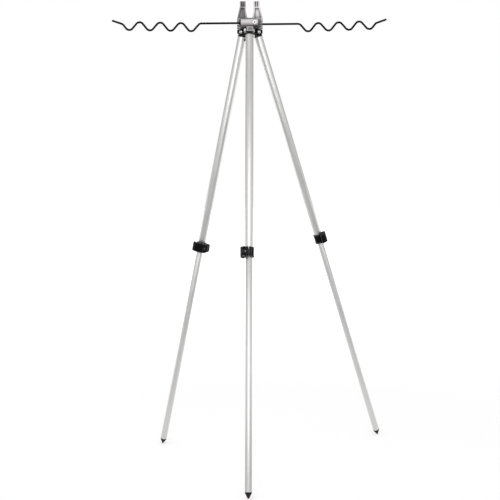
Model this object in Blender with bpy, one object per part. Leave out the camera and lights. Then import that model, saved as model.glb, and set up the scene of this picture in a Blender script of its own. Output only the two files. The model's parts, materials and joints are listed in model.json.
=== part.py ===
"""Fishing rod tripod: a plastic fork head on a three-clevis hub, two fold-up wire rod arms, and three
two-section aluminium legs with flip-lever clamps and conical feet.

Metres, +Z up. The stand rests on Z = 0 with its feet out as far as in use. The head is modelled about the
hub's axis, with Z = 0 at the height of the leg pivots. Each leg is modelled in its own frame: its origin on
the leg's pivot, X outward, Y along the pivot bolt and Z up the leg.
"""

import math

import bmesh
import bpy
from mathutils import Matrix, Vector

# Clearances, and how deep joined volumes reach into each other
GAP = 0.0003
BOLT_GAP = 0.0003
LEVER_GAP = 0.0004
JOIN_DEPTH = 0.001

# Stand
PIVOT_HEIGHT = 0.935
PIVOT_RADIUS = 0.0178
WIDEST_OPENING = 22.0
SIDES = {
    "left": {"azimuth": 151.0, "opening": 13.6, "clamp_turn": -176.0, "bolt_side": 1, "rivet_turn": 180.0},
    "front": {"azimuth": -92.4, "opening": 16.0, "clamp_turn": 0.0, "bolt_side": 1, "rivet_turn": 180.0},
    "right": {"azimuth": 31.2, "opening": 19.5, "clamp_turn": 38.0, "bolt_side": -1, "rivet_turn": 90.0},
}

# Leg tubes
UPPER_DIAMETER = 0.017
UPPER_WALL = 0.0008
UPPER_LENGTH = 0.505 * PIVOT_HEIGHT
LOWER_DIAMETER = 0.0136
LOWER_WALL = 0.001
LOWER_LENGTH = 0.5476 * PIVOT_HEIGHT
TUBE_STEPS = 32
EDGE = 0.0005

# Leg cap and its pivot
TONGUE_THICKNESS = 0.0074
TONGUE_WIDTH = 0.013
FLANGE_HEIGHT = 0.0026
FLANGE_LIP = 0.0007
SPIGOT_LENGTH = 0.012
RIVET_DROP = 0.0053
RIVET_RADIUS = 0.0015
RIVET_HEAD_RADIUS = 0.0026
RIVET_HEAD_HEIGHT = 0.0011
RIVET_DEPTH = 0.004
PIVOT_BOLT_RADIUS = 0.0024
PIVOT_HEAD_RADIUS = 0.0041
PIVOT_HEAD_HEIGHT = 0.003
PIVOT_NUT_WIDTH = 0.008
PIVOT_NUT_HEIGHT = 0.0036
PIVOT_THREAD_END = 0.0008

# Hub
EAR_THICKNESS = 0.0036
EAR_REACH = 0.0096
EAR_TOP_DROP = 0.0035
EAR_TOP_STEP = 0.0003
HUB_BOTTOM = -0.0048
EAR_CORNER = 0.003
SLOT_FLOOR_RADIUS = 0.0095
HUB_RADIUS = 0.0107
HUB_TOP = 0.0084
HUB_BOSS = 0.0004
KEY_LENGTH = 0.014
KEY_WIDTH = 0.0056
KEY_HEIGHT = 0.003
HUB_SCREW_RADIUS = 0.002
HUB_SCREW_LENGTH = 0.02
HUB_SCREW_HEAD_RADIUS = 0.0038
HUB_SCREW_HEAD_HEIGHT = 0.0024

# Fork
FORK_DEPTH = 0.0126
FORK_TOP = 0.0636
FORK_WIDTH = 0.055
SHOULDER_HEIGHT = 0.0264
PRONG_FLARE_TOP = 0.0525
PRONG_SPREAD = 0.0417
PRONG_GAP = 0.0172
NOTCH_FLOOR = 0.0286
NOTCH_FLOOR_WIDTH = 0.0108
NOTCH_TAPER_TOP = 0.0415
SKIRT_DROP = 0.0035
SKIRT_START = 0.011
MARGIN_SLOT = 0.0045
PRONG_WEB = 0.0044
RIM = 0.0028
POCKET_BOTTOM = 0.0283
POCKET_TOP = 0.049
GROOVE_BOTTOM = 0.0515
GROOVE_TOP = 0.0622
GROOVE_RIB = 0.002
POCKET_CORNER = 0.001
POCKET_INSET = 0.0015
GROOVE_CORNER = 0.0006
FORK_CORNER = 0.001
SHOULDER_ROUND = 0.012
FLARE_ROUND = 0.008
NOTCH_ROUND = 0.0022

# Arm seat on the fork
SEAT_HEIGHT = 0.0107
SEAT_THICKNESS = 0.0017
SEAT_HALF_LENGTH = 0.0197
STOP_RIB_THICKNESS = 0.0016
STOP_RIB_TOP = 0.0255
TAB_WIDTH = 0.015
TAB_THICKNESS = 0.0026
TAB_BOTTOM = -0.003
TAB_SHOULDER = 0.0084
TAB_CLEARANCE = 0.0008
TAB_STEP = 0.0002
TAB_OUTER_CORNER = 0.0016
TAB_CORNER = 0.0008

# Arms
ARM_BOLT_OFFSET = 0.0105
BLOCK_HEIGHT = 0.014
BLOCK_THICKNESS = 0.0078
BLOCK_LENGTH = 0.0383
BLOCK_HEEL = 0.0078
BLOCK_HEEL_CORNER = 0.0016
BLOCK_CORNER = 0.0008
WIRE_DIAMETER = 0.0044
WIRE_DROP = 0.0012
WIRE_SOCKET_DEPTH = 0.02
SHANK_LENGTH = 0.0837
SHANK_RISE = 0.0
WAVE_COUNT = 4
WAVE_PITCH = 0.0442
WAVE_DEPTH = 0.0166
WAVE_RISE = 1.6
FLANK_ANGLE = 50.0
TIP_FLANK = 0.0088
TIP_RISE = 19.0
TIP_LENGTH = 0.022
ARM_BOLT_RADIUS = 0.0023
ARM_BOLT_HEAD_RADIUS = 0.0034
ARM_BOLT_HEAD_HEIGHT = 0.0024
ARM_BOLT_SOCKET = 0.0032
ARM_WASHER_RADIUS = 0.0045
ARM_WASHER_THICKNESS = 0.0009
INSERT_RADIUS = 0.0036
INSERT_LENGTH = 0.0055

# Leg clamp
COLLAR_HEIGHT = 0.0205
COLLAR_WALL = 0.0013
COLLAR_BEAD = 0.0005
COLLAR_BEAD_HEIGHT = 0.0022
COLLAR_SHOULDER = 0.0005
COLLAR_SPLIT = 0.0018
CLAMP_EAR_LENGTH = 0.0108
CLAMP_EAR_SIDE = 0.0054
CLAMP_EAR_STEP = 0.0006
CLAMP_EAR_CORNER = 0.0045
BOSS_RADIUS = 0.0044
BOSS_SPLIT = 0.0006
CLAMP_SCREW_RADIUS = 0.0016
CLAMP_SCREW_CLEARANCE = 0.0034
CLAMP_SCREW_HEAD_RADIUS = 0.0024
CLAMP_SCREW_HEAD_HEIGHT = 0.0018
CLAMP_PIN_RADIUS = 0.0025
KNUCKLE_RADIUS = 0.004
LEVER_THICKNESS = 0.0025
LEVER_SPAN = 108.0
LEVER_LIP = 0.0008
LEVER_LIP_SPAN = 6.0
LEVER_CORNER = 0.004
LEVER_SLOT = 0.0052
LEVER_SWING = 110.0

# Foot and slide bush
FOOT_LENGTH = 0.012
FOOT_TIP_RADIUS = 0.002
FOOT_LIP = 0.0003
FOOT_BAND = 0.0014
FOOT_PLUG_LENGTH = 0.012
BUSH_HEIGHT = 0.004
BUSH_PLUG_LENGTH = 0.01

# Directions in which an outline is run: its own XY plane seen from the front, or from the side
FROM_FRONT = Matrix.Rotation(math.radians(90), 4, "X")
FROM_SIDE = Matrix(((0, 0, 1, 0), (1, 0, 0, 0), (0, 1, 0, 0), (0, 0, 0, 1)))
HALF_TURN = Matrix.Rotation(math.pi, 4, "Z")

# Finishes: colour, roughness, metallic
FINISHES = {
    "satin_aluminium": ((0.78, 0.78, 0.77, 1), 0.32, 1.0),
    "grey_plastic": ((0.16, 0.155, 0.165, 1), 0.3, 0.0),
    "black_plastic": ((0.012, 0.012, 0.013, 1), 0.38, 0.0),
    "coated_wire": ((0.015, 0.015, 0.016, 1), 0.3, 0.0),
    "zinc_steel": ((0.7, 0.7, 0.72, 1), 0.25, 1.0),
    "blackened_steel": ((0.03, 0.03, 0.032, 1), 0.35, 1.0),
    "cast_metal": ((0.72, 0.7, 0.72, 1), 0.4, 1.0),
    "brass": ((0.72, 0.52, 0.22, 1), 0.35, 1.0),
}


def finish(name):
    """The named finish as a material, made once."""
    material = bpy.data.materials.get(name)
    if material:
        return material
    colour, roughness, metallic = FINISHES[name]
    material = bpy.data.materials.new(name)
    material.use_nodes = True
    shader = material.node_tree.nodes["Principled BSDF"]
    shader.inputs["Base Color"].default_value = colour
    shader.inputs["Roughness"].default_value = roughness
    shader.inputs["Metallic"].default_value = metallic
    return material


def frame(name, parent=None, location=(0, 0, 0), rotation=(0, 0, 0)):
    """An empty that carries pieces. Its rotation is in degrees."""
    empty = bpy.data.objects.new(name, None)
    empty.empty_display_size = 0.02
    empty.parent = parent
    empty.location = location
    empty.rotation_euler = [math.radians(angle) for angle in rotation]
    bpy.context.scene.collection.objects.link(empty)
    return empty


def piece(name, bm, parent, finish_name, smooth=35.0):
    """A named solid from a bmesh, shaded smooth up to an angle in degrees."""
    mesh = bpy.data.meshes.new(name)
    bm.to_mesh(mesh)
    bm.free()
    mesh.shade_smooth()
    mesh.set_sharp_from_angle(angle=math.radians(smooth))
    solid = bpy.data.objects.new(name, mesh)
    solid.parent = parent
    bpy.context.scene.collection.objects.link(solid)
    mesh.materials.append(finish(finish_name))
    return solid


def helper(name, bm, parent):
    """A solid that only shapes another one."""
    solid = piece(name, bm, parent, "black_plastic")
    solid.hide_render = True
    solid.display_type = "WIRE"
    return solid


def combine(solid, operation, other):
    """Cut the other solid out of this one, or join it on."""
    boolean = solid.modifiers.new(f"{operation.lower()}_{other.name}", "BOOLEAN")
    boolean.operation = operation
    boolean.solver = "EXACT"
    boolean.object = other


def cut(solid, other):
    """Cut the other solid out of this one."""
    combine(solid, "DIFFERENCE", other)


def join(solid, other):
    """Join the other solid to this one."""
    combine(solid, "UNION", other)


def arc(centre, radius, start, end, steps):
    """Points on an arc, its angles in degrees and both ends included."""
    angles = [math.radians(start + (end - start) * n / steps) for n in range(steps + 1)]
    return [(centre[0] + radius * math.cos(a), centre[1] + radius * math.sin(a)) for a in angles]


def rounded(corners, steps=4):
    """The outline through (x, y, radius) corners, each with a radius turned into an arc."""
    points = []
    for n, (x, y, radius) in enumerate(corners):
        here = Vector((x, y))
        if radius == 0:
            points.append((x, y))
            continue
        back = (Vector(corners[n - 1][:2]) - here).normalized()
        ahead = (Vector(corners[(n + 1) % len(corners)][:2]) - here).normalized()
        half = back.angle(ahead) / 2
        centre = here + (back + ahead).normalized() * radius / math.sin(half)
        first = here + back * radius / math.tan(half) - centre
        last = here + ahead * radius / math.tan(half) - centre
        start = math.degrees(math.atan2(first.y, first.x))
        sweep = math.degrees(math.atan2(first.x * last.y - first.y * last.x, first.dot(last)))
        points += arc(centre, radius, start, start + sweep, steps)
    return points


def prism(outline, low, high, turn=None):
    """A closed outline run from low to high, then turned."""
    bm = bmesh.new()
    face = bm.faces.new([bm.verts.new((x, y, low)) for x, y in outline])
    run = bmesh.ops.extrude_face_region(bm, geom=[face])
    far = [part for part in run["geom"] if isinstance(part, bmesh.types.BMVert)]
    bmesh.ops.translate(bm, verts=far, vec=(0, 0, high - low))
    if turn:
        bmesh.ops.transform(bm, matrix=turn, verts=bm.verts)
    bmesh.ops.recalc_face_normals(bm, faces=bm.faces)
    return bm


def box(low, high):
    """A box between two corners."""
    outline = [(low[0], low[1]), (high[0], low[1]), (high[0], high[1]), (low[0], high[1])]
    return prism(outline, low[2], high[2])


def turned(profile, steps, turn=None):
    """A (radius, height) profile turned about Z. It starts and ends on the axis, or else is a closed loop."""
    bm = bmesh.new()
    points = [bm.verts.new((radius, 0, height)) for radius, height in profile]
    edges = [bm.edges.new(pair) for pair in zip(points, points[1:])]
    if profile[0][0] > 0:
        edges.append(bm.edges.new((points[-1], points[0])))
    bmesh.ops.spin(
        bm,
        geom=points + edges,
        cent=(0, 0, 0),
        axis=(0, 0, 1),
        angle=2 * math.pi,
        steps=steps,
        use_merge=True,
    )
    bmesh.ops.remove_doubles(bm, verts=bm.verts, dist=1e-7)
    if turn:
        bmesh.ops.transform(bm, matrix=turn, verts=bm.verts)
    bmesh.ops.recalc_face_normals(bm, faces=bm.faces)
    return bm


def rod(radius, low, high, steps, turn=None):
    """A plain cylinder along Z."""
    return turned([(0, high), (radius, high), (radius, low), (0, low)], steps, turn)


def pipe(outer, inner, low, high, steps):
    """A plain tube along Z."""
    return turned([(outer, high), (outer, low), (inner, low), (inner, high)], steps)


def merged(parts):
    """Several bmeshes in one, as separate volumes."""
    whole = parts[0]
    for part in parts[1:]:
        mesh = bpy.data.meshes.new("part")
        part.to_mesh(mesh)
        part.free()
        whole.from_mesh(mesh)
        bpy.data.meshes.remove(mesh)
    return whole


def moved(bm, matrix):
    """The bmesh itself, moved by a matrix."""
    bmesh.ops.transform(bm, matrix=matrix, verts=bm.verts)
    return bm


def domed_head(radius, height, base, crown=4):
    """The profile of a domed bolt head: from its top on the axis down to its rim at the base."""
    edge = height * 0.35
    rise = height - edge
    dome = [(radius * math.sin(a), base + edge + rise * math.cos(a)) for a in quarter(crown)]
    return dome + [(radius, base)]


def quarter(steps):
    """Angles from 0 to a right angle."""
    return [math.pi / 2 * n / steps for n in range(steps + 1)]


def leg_reach(opening):
    """How far the foot's tip lies from the pivot along a leg that is open by this angle, in degrees."""
    return (PIVOT_HEIGHT - FOOT_TIP_RADIUS) / math.cos(math.radians(opening)) + FOOT_TIP_RADIUS


def foot_place(side):
    """The foot's X and Y about the hub's axis."""
    opening = math.radians(side["opening"])
    azimuth = math.radians(side["azimuth"])
    out = PIVOT_RADIUS + leg_reach(side["opening"]) * math.sin(opening)
    return out * math.cos(azimuth), out * math.sin(azimuth)


def stand_centre():
    """The middle of the stand's extent in X and Y, about the hub's axis."""
    feet = [foot_place(side) for side in SIDES.values()]
    tip = LOWER_DIAMETER / 2
    xs = [x + tip * math.copysign(1, x) for x, y in feet] + [-arm_span(), arm_span()]
    ys = [y + tip * math.copysign(1, y) for x, y in feet]
    return (min(xs) + max(xs)) / 2, (min(ys) + max(ys)) / 2


# Hub


def hub_clevis():
    """Two ears about one leg's tongue, with the web between them, outward along X. Their top slopes."""
    slot = TONGUE_THICKNESS / 2 + GAP
    half = slot + EAR_THICKNESS
    end = PIVOT_RADIUS + EAR_REACH
    top = HUB_TOP - EAR_TOP_STEP
    profile = rounded(
        [
            (0, HUB_BOTTOM, 0),
            (end, HUB_BOTTOM, EAR_CORNER),
            (end, top - EAR_TOP_DROP, EAR_CORNER / 3),
            (SLOT_FLOOR_RADIUS - JOIN_DEPTH, top, 0),
            (0, top, 0),
        ]
    )
    return prism(profile, -half, half, FROM_FRONT)


def hub_slot():
    """The space between two ears for the leg's tongue."""
    slot = TONGUE_THICKNESS / 2 + GAP
    beyond = 2 * EAR_REACH
    return box((SLOT_FLOOR_RADIUS, -slot, -beyond), (PIVOT_RADIUS + beyond, slot, beyond))


def hub_pivot_hole():
    """The pivot bolt's hole through two ears."""
    beyond = 2 * EAR_REACH
    hole = rod(PIVOT_BOLT_RADIUS + BOLT_GAP, -beyond, beyond, 16, FROM_FRONT)
    return moved(hole, Matrix.Translation((PIVOT_RADIUS, 0, 0)))


def add_hub(head):
    """The black hub: a round middle with three clevises, a seat for the fork and a key."""
    base = HUB_BOTTOM - HUB_BOSS
    middle = turned(
        [
            (0, HUB_TOP),
            (HUB_RADIUS - EDGE, HUB_TOP),
            (HUB_RADIUS, HUB_TOP - EDGE),
            (HUB_RADIUS, base),
            (0, base),
        ],
        24,
    )
    hub = piece("hub_spider", middle, head, "black_plastic")
    for name, side in SIDES.items():
        out = Matrix.Rotation(math.radians(side["azimuth"]), 4, "Z")
        join(hub, helper(f"ears_{name}", moved(hub_clevis(), out), head))
    key = box((-KEY_LENGTH / 2, -KEY_WIDTH / 2, 0), (KEY_LENGTH / 2, KEY_WIDTH / 2, HUB_TOP + KEY_HEIGHT))
    join(hub, helper("hub_key", key, head))
    for name, side in SIDES.items():
        out = Matrix.Rotation(math.radians(side["azimuth"]), 4, "Z")
        cut(hub, helper(f"ear_slot_{name}", moved(hub_slot(), out), head))
        cut(hub, helper(f"ear_hole_{name}", moved(hub_pivot_hole(), out), head))
    sink = HUB_BOTTOM + HUB_SCREW_HEAD_HEIGHT + GAP
    bore = [
        (0, 2 * HUB_TOP + KEY_HEIGHT),
        (HUB_SCREW_RADIUS + BOLT_GAP, 2 * HUB_TOP + KEY_HEIGHT),
        (HUB_SCREW_RADIUS + BOLT_GAP, sink),
        (HUB_SCREW_HEAD_RADIUS + GAP, sink),
        (HUB_SCREW_HEAD_RADIUS + GAP, 2 * HUB_BOTTOM),
        (0, 2 * HUB_BOTTOM),
    ]
    cut(hub, helper("hub_bore", turned(bore, 20), head))
    return hub


def add_hub_screw(head):
    """The screw that holds the fork on the hub, its head in the hub's underside."""
    top = HUB_BOTTOM + HUB_SCREW_HEAD_HEIGHT
    profile = [
        (0, top + HUB_SCREW_LENGTH),
        (HUB_SCREW_RADIUS * 0.6, top + HUB_SCREW_LENGTH),
        (HUB_SCREW_RADIUS, top + HUB_SCREW_LENGTH - HUB_SCREW_RADIUS),
        (HUB_SCREW_RADIUS, top),
        (HUB_SCREW_HEAD_RADIUS, top),
        (HUB_SCREW_HEAD_RADIUS, top - 0.6 * HUB_SCREW_HEAD_HEIGHT),
        (HUB_SCREW_HEAD_RADIUS * 0.6, HUB_BOTTOM),
        (0, HUB_BOTTOM),
    ]
    return piece("hub_screw", turned(profile, 20), head, "zinc_steel")


def add_pivot_bolt(head, name, side):
    """The domed bolt through one clevis, with its nut on the other ear."""
    half = TONGUE_THICKNESS / 2 + GAP + EAR_THICKNESS
    seat = half + GAP
    nut_top = -seat - PIVOT_NUT_HEIGHT
    clevis = frame(f"clevis_{name}", head, rotation=(0, 0, side["azimuth"]))
    axis = Matrix.Translation((PIVOT_RADIUS, 0, 0)) @ Matrix.Rotation(
        math.radians(-90 * side["bolt_side"]), 4, "X"
    )
    bolt = domed_head(PIVOT_HEAD_RADIUS, PIVOT_HEAD_HEIGHT, seat) + [
        (PIVOT_BOLT_RADIUS, seat),
        (PIVOT_BOLT_RADIUS, nut_top - PIVOT_THREAD_END),
        (0, nut_top - PIVOT_THREAD_END),
    ]
    piece(f"pivot_bolt_{name}", turned(bolt, 20, axis), clevis, "zinc_steel")
    corner = PIVOT_NUT_WIDTH / 2 / math.cos(math.radians(30))
    hexagon = arc((0, 0), corner, 0, 300, 5)
    nut = piece(f"pivot_nut_{name}", prism(hexagon, nut_top, -seat, axis), clevis, "zinc_steel")
    hole = rod(PIVOT_BOLT_RADIUS + BOLT_GAP, 2 * nut_top, 0, 16, axis)
    cut(nut, helper(f"nut_hole_{name}", hole, clevis))


# Fork


def prong_outline():
    """The fork seen from the front: skirts, shoulders, prongs and the notch between them."""
    half = FORK_WIDTH / 2
    top = PRONG_SPREAD / 2
    inner = PRONG_GAP / 2
    floor = NOTCH_FLOOR_WIDTH / 2
    bottom = HUB_TOP + GAP
    right = [
        (SKIRT_START, bottom, 0),
        (half, bottom - SKIRT_DROP, FORK_CORNER),
        (half, SHOULDER_HEIGHT, SHOULDER_ROUND),
        (top, PRONG_FLARE_TOP, FLARE_ROUND),
        (top, FORK_TOP, FORK_CORNER),
        (inner, FORK_TOP, FORK_CORNER),
        (inner, NOTCH_TAPER_TOP, SHOULDER_ROUND),
        (floor, NOTCH_FLOOR, NOTCH_ROUND),
    ]
    left = [(-x, z, radius) for x, z, radius in reversed(right)]
    return rounded(right + left, 3)


def prong_pockets():
    """The recesses in both faces of both prongs: a tapering one below and two grooves above."""
    flare = (FORK_WIDTH - PRONG_SPREAD) / 2 / (PRONG_FLARE_TOP - SHOULDER_HEIGHT)
    inner = PRONG_GAP / 2 + RIM
    outer = PRONG_SPREAD / 2 - RIM
    low = NOTCH_FLOOR_WIDTH / 2 + RIM
    taper = outer + flare * (PRONG_FLARE_TOP - POCKET_BOTTOM)
    tip = outer + flare * (PRONG_FLARE_TOP - POCKET_TOP)
    main = rounded(
        [
            (low + POCKET_INSET, POCKET_BOTTOM, POCKET_CORNER),
            (taper, POCKET_BOTTOM, POCKET_CORNER),
            (tip, POCKET_TOP, POCKET_CORNER),
            (inner, POCKET_TOP, POCKET_CORNER),
            (inner, NOTCH_TAPER_TOP, 0),
        ],
        2,
    )
    width = (outer - inner - GROOVE_RIB) / 2
    grooves = []
    for start in (inner, inner + width + GROOVE_RIB):
        end = start + width
        corners = [(start, GROOVE_BOTTOM), (end, GROOVE_BOTTOM), (end, GROOVE_TOP), (start, GROOVE_TOP)]
        grooves.append(rounded([(x, z, GROOVE_CORNER) for x, z in corners], 2))
    cuts = []
    for outline in [main] + grooves:
        mirrored = [(-x, z) for x, z in reversed(outline)]
        for shape in (outline, mirrored):
            cuts.append(prism(shape, PRONG_WEB / 2, FORK_DEPTH, FROM_FRONT))
            cuts.append(prism(shape, -FORK_DEPTH, -PRONG_WEB / 2, FROM_FRONT))
    return merged(cuts)


def seat_height():
    """The arm bolt's height above the leg pivots."""
    return SEAT_HEIGHT + GAP + BLOCK_HEIGHT / 2


def block_back():
    """How far the arm block's back lies from the fork's mid-plane."""
    return FORK_DEPTH / 2 + GAP


def block_front():
    """How far the arm block's front lies from the fork's mid-plane."""
    return block_back() + BLOCK_THICKNESS


def heel_sweep():
    """The radius that the arm block's heel sweeps about its bolt, with a running gap."""
    corner = math.hypot(BLOCK_HEEL, BLOCK_HEIGHT / 2)
    return corner - BLOCK_HEEL_CORNER * (math.sqrt(2) - 1) + LEVER_GAP


def arm_seat():
    """The ledge under one arm block and the stop rib behind its heel, on the front face."""
    sweep = heel_sweep()
    bolt = (ARM_BOLT_OFFSET, seat_height())
    low = SEAT_HEIGHT - SEAT_THICKNESS
    left_top = math.degrees(math.asin((SEAT_HEIGHT - bolt[1]) / sweep))
    left_low = math.degrees(math.asin((low - bolt[1]) / sweep))
    rib = ARM_BOLT_OFFSET + sweep
    ledge = [(-SEAT_HALF_LENGTH, low)]
    ledge += arc(bolt, sweep, 180 - left_low, 180 - left_top, 3)
    ledge += [(-SEAT_HALF_LENGTH, SEAT_HEIGHT)]
    stop = arc(bolt, sweep, left_top, left_low, 3)
    stop += [(rib + STOP_RIB_THICKNESS, low)]
    stop += [(rib + STOP_RIB_THICKNESS, STOP_RIB_TOP), (rib, STOP_RIB_TOP), (rib, SEAT_HEIGHT)]
    near = FORK_DEPTH / 2 - JOIN_DEPTH
    return [prism(shape, near, block_front(), FROM_FRONT) for shape in (ledge, stop)]


def front_tab():
    """The tongue that runs forward from the seat and hooks down over the front clevis."""
    back = -(PIVOT_RADIUS + EAR_REACH + TAB_CLEARANCE)
    front = back - TAB_THICKNESS
    high = SEAT_HEIGHT - TAB_STEP
    low = SEAT_HEIGHT - SEAT_THICKNESS + TAB_STEP / 2
    start = -(FORK_DEPTH / 2 - JOIN_DEPTH)
    ramp = -(block_front() + GAP)
    outline = rounded(
        [
            (start, high, 0),
            (ramp, high, 0),
            (front, TAB_SHOULDER, TAB_OUTER_CORNER),
            (front, TAB_BOTTOM, TAB_CORNER),
            (back, TAB_BOTTOM, 0),
            (back, TAB_SHOULDER - SEAT_THICKNESS, TAB_CORNER),
            (ramp, low, 0),
            (start, low, 0),
        ],
        3,
    )
    return prism(outline, -TAB_WIDTH / 2, TAB_WIDTH / 2, FROM_SIDE)


def fork_holes():
    """The hub key's socket and the hub screw's pilot hole."""
    socket = box(
        (-KEY_LENGTH / 2 - GAP, -KEY_WIDTH / 2 - GAP, 0),
        (KEY_LENGTH / 2 + GAP, KEY_WIDTH / 2 + GAP, HUB_TOP + KEY_HEIGHT + GAP),
    )
    pilot = rod(HUB_SCREW_RADIUS + GAP, 0, hub_screw_top() + GAP, 16)
    return [socket, pilot]


def hub_screw_top():
    """The height of the hub screw's point."""
    return HUB_BOTTOM + HUB_SCREW_HEAD_HEIGHT + HUB_SCREW_LENGTH


def margin_slots():
    """The open slots in the fork's two side margins, level with the wires."""
    level = seat_height() - WIRE_DROP
    half = WIRE_DIAMETER / 2 + GAP
    outer = FORK_WIDTH / 2
    return [
        box((outer - MARGIN_SLOT, -FORK_DEPTH, level - half), (2 * outer, FORK_DEPTH, level + half)),
        box((-2 * outer, -FORK_DEPTH, level - half), (-outer + MARGIN_SLOT, FORK_DEPTH, level + half)),
    ]


def insert_pocket():
    """The pocket for one arm insert, in the front face."""
    depth = FORK_DEPTH / 2 - INSERT_LENGTH - GAP
    pocket = rod(INSERT_RADIUS + GAP, depth, FORK_DEPTH, 20, FROM_FRONT)
    return moved(pocket, Matrix.Translation((ARM_BOLT_OFFSET, 0, seat_height())))


def add_fork(head):
    """The grey fork: two ribbed prongs, a seat for an arm on each face and the front tab."""
    body = prism(prong_outline(), -FORK_DEPTH / 2, FORK_DEPTH / 2, FROM_FRONT)
    fork = piece("head_fork", body, head, "grey_plastic")
    cut(fork, helper("prong_pockets", prong_pockets(), head))
    for n, seat in enumerate(arm_seat() + [moved(part, HALF_TURN) for part in arm_seat()]):
        join(fork, helper(f"arm_seat_{n}", seat, head))
    tab = helper("front_tab", front_tab(), head)
    sweep = rod(heel_sweep(), FORK_DEPTH / 2, block_front() + GAP, 48, FROM_FRONT)
    sweep = moved(sweep, Matrix.Translation((ARM_BOLT_OFFSET, 0, seat_height())))
    cut(tab, helper("tab_relief", sweep, head))
    join(fork, tab)
    for n, hole in enumerate(fork_holes() + margin_slots()):
        cut(fork, helper(f"fork_hole_{n}", hole, head))
    cut(fork, helper("insert_pocket_front", insert_pocket(), head))
    cut(fork, helper("insert_pocket_rear", moved(insert_pocket(), HALF_TURN), head))
    return fork


# Arms


def bend_radius():
    """The wire's bend radius, to its middle, that gives the wave its pitch and depth."""
    flank = math.radians(FLANK_ANGLE)
    across = WAVE_PITCH / 2 * math.sin(flank) - WAVE_DEPTH * math.cos(flank)
    return across / (2 * (1 - math.cos(flank)))


def wire_path():
    """The wire's middle line from its end in the block outward, in the XZ plane, towards -X."""
    radius = bend_radius()
    flank = math.radians(FLANK_ANGLE)
    straight = (WAVE_DEPTH - 2 * radius * (1 - math.cos(flank))) / math.sin(flank)
    steps = 5
    point = Vector((BLOCK_HEEL - BLOCK_LENGTH + WIRE_SOCKET_DEPTH, -WIRE_DROP))
    heading = math.radians(SHANK_RISE)
    points = [point.copy()]

    def run(length, pieces=1):
        for _ in range(pieces):
            point.x -= math.cos(heading) * length / pieces
            point.y += math.sin(heading) * length / pieces
            points.append(point.copy())

    def bend(angle):
        nonlocal heading
        for _ in range(steps):
            heading += angle / steps / 2
            run(2 * radius * math.sin(abs(angle) / steps / 2))
            heading += angle / steps / 2

    run(WIRE_SOCKET_DEPTH + SHANK_LENGTH, 4)
    rise = math.radians(WAVE_RISE)
    bend(-flank + rise - heading)
    run(straight, 2)
    for n in range(WAVE_COUNT - 1):
        bend(flank)
        bend(flank)
        run(straight, 2)
        bend(-flank)
        bend(-flank)
        run(straight, 2)
    bend(flank)
    bend(flank)
    run(TIP_FLANK, 2)
    bend(math.radians(TIP_RISE) - heading)
    run(TIP_LENGTH, 2)
    return points


def arm_span():
    """How far the wire's tip lies from the hub's axis."""
    return -wire_path()[-1].x - ARM_BOLT_OFFSET


def add_wire(name, arm):
    """The bent and coated rod-rest wire."""
    curve = bpy.data.curves.new(f"arm_wire_{name}", "CURVE")
    curve.dimensions = "3D"
    curve.bevel_depth = WIRE_DIAMETER / 2
    curve.bevel_resolution = 3
    curve.use_fill_caps = True
    path = wire_path()
    spline = curve.splines.new("POLY")
    spline.points.add(len(path) - 1)
    for place, point in zip(path, spline.points):
        point.co = (place.x, 0, place.y, 1)
    wire = bpy.data.objects.new(f"arm_wire_{name}", curve)
    wire.parent = arm
    curve.materials.append(finish("coated_wire"))
    bpy.context.scene.collection.objects.link(wire)
    return wire


def add_block(name, arm):
    """The metal block that turns on the arm's bolt and holds the wire."""
    heel = BLOCK_HEEL
    toe = BLOCK_HEEL - BLOCK_LENGTH
    half = BLOCK_HEIGHT / 2
    outline = rounded(
        [
            (toe, -half, BLOCK_CORNER),
            (heel, -half, BLOCK_HEEL_CORNER),
            (heel, half, BLOCK_HEEL_CORNER),
            (toe, half, BLOCK_CORNER),
        ]
    )
    deep = BLOCK_THICKNESS / 2
    block = piece(f"arm_block_{name}", prism(outline, -deep, deep, FROM_FRONT), arm, "cast_metal")
    hole = rod(ARM_BOLT_RADIUS + BOLT_GAP, -BLOCK_THICKNESS, BLOCK_THICKNESS, 20, FROM_FRONT)
    cut(block, helper(f"block_bore_{name}", hole, arm))
    along = Matrix.Rotation(math.radians(-90), 4, "Y")
    socket = rod(WIRE_DIAMETER / 2 + GAP, -toe - WIRE_SOCKET_DEPTH - GAP, 2 * BLOCK_LENGTH, 20, along)
    socket = moved(socket, Matrix.Translation((0, 0, -WIRE_DROP)))
    cut(block, helper(f"wire_socket_{name}", socket, arm))
    return block


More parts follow.
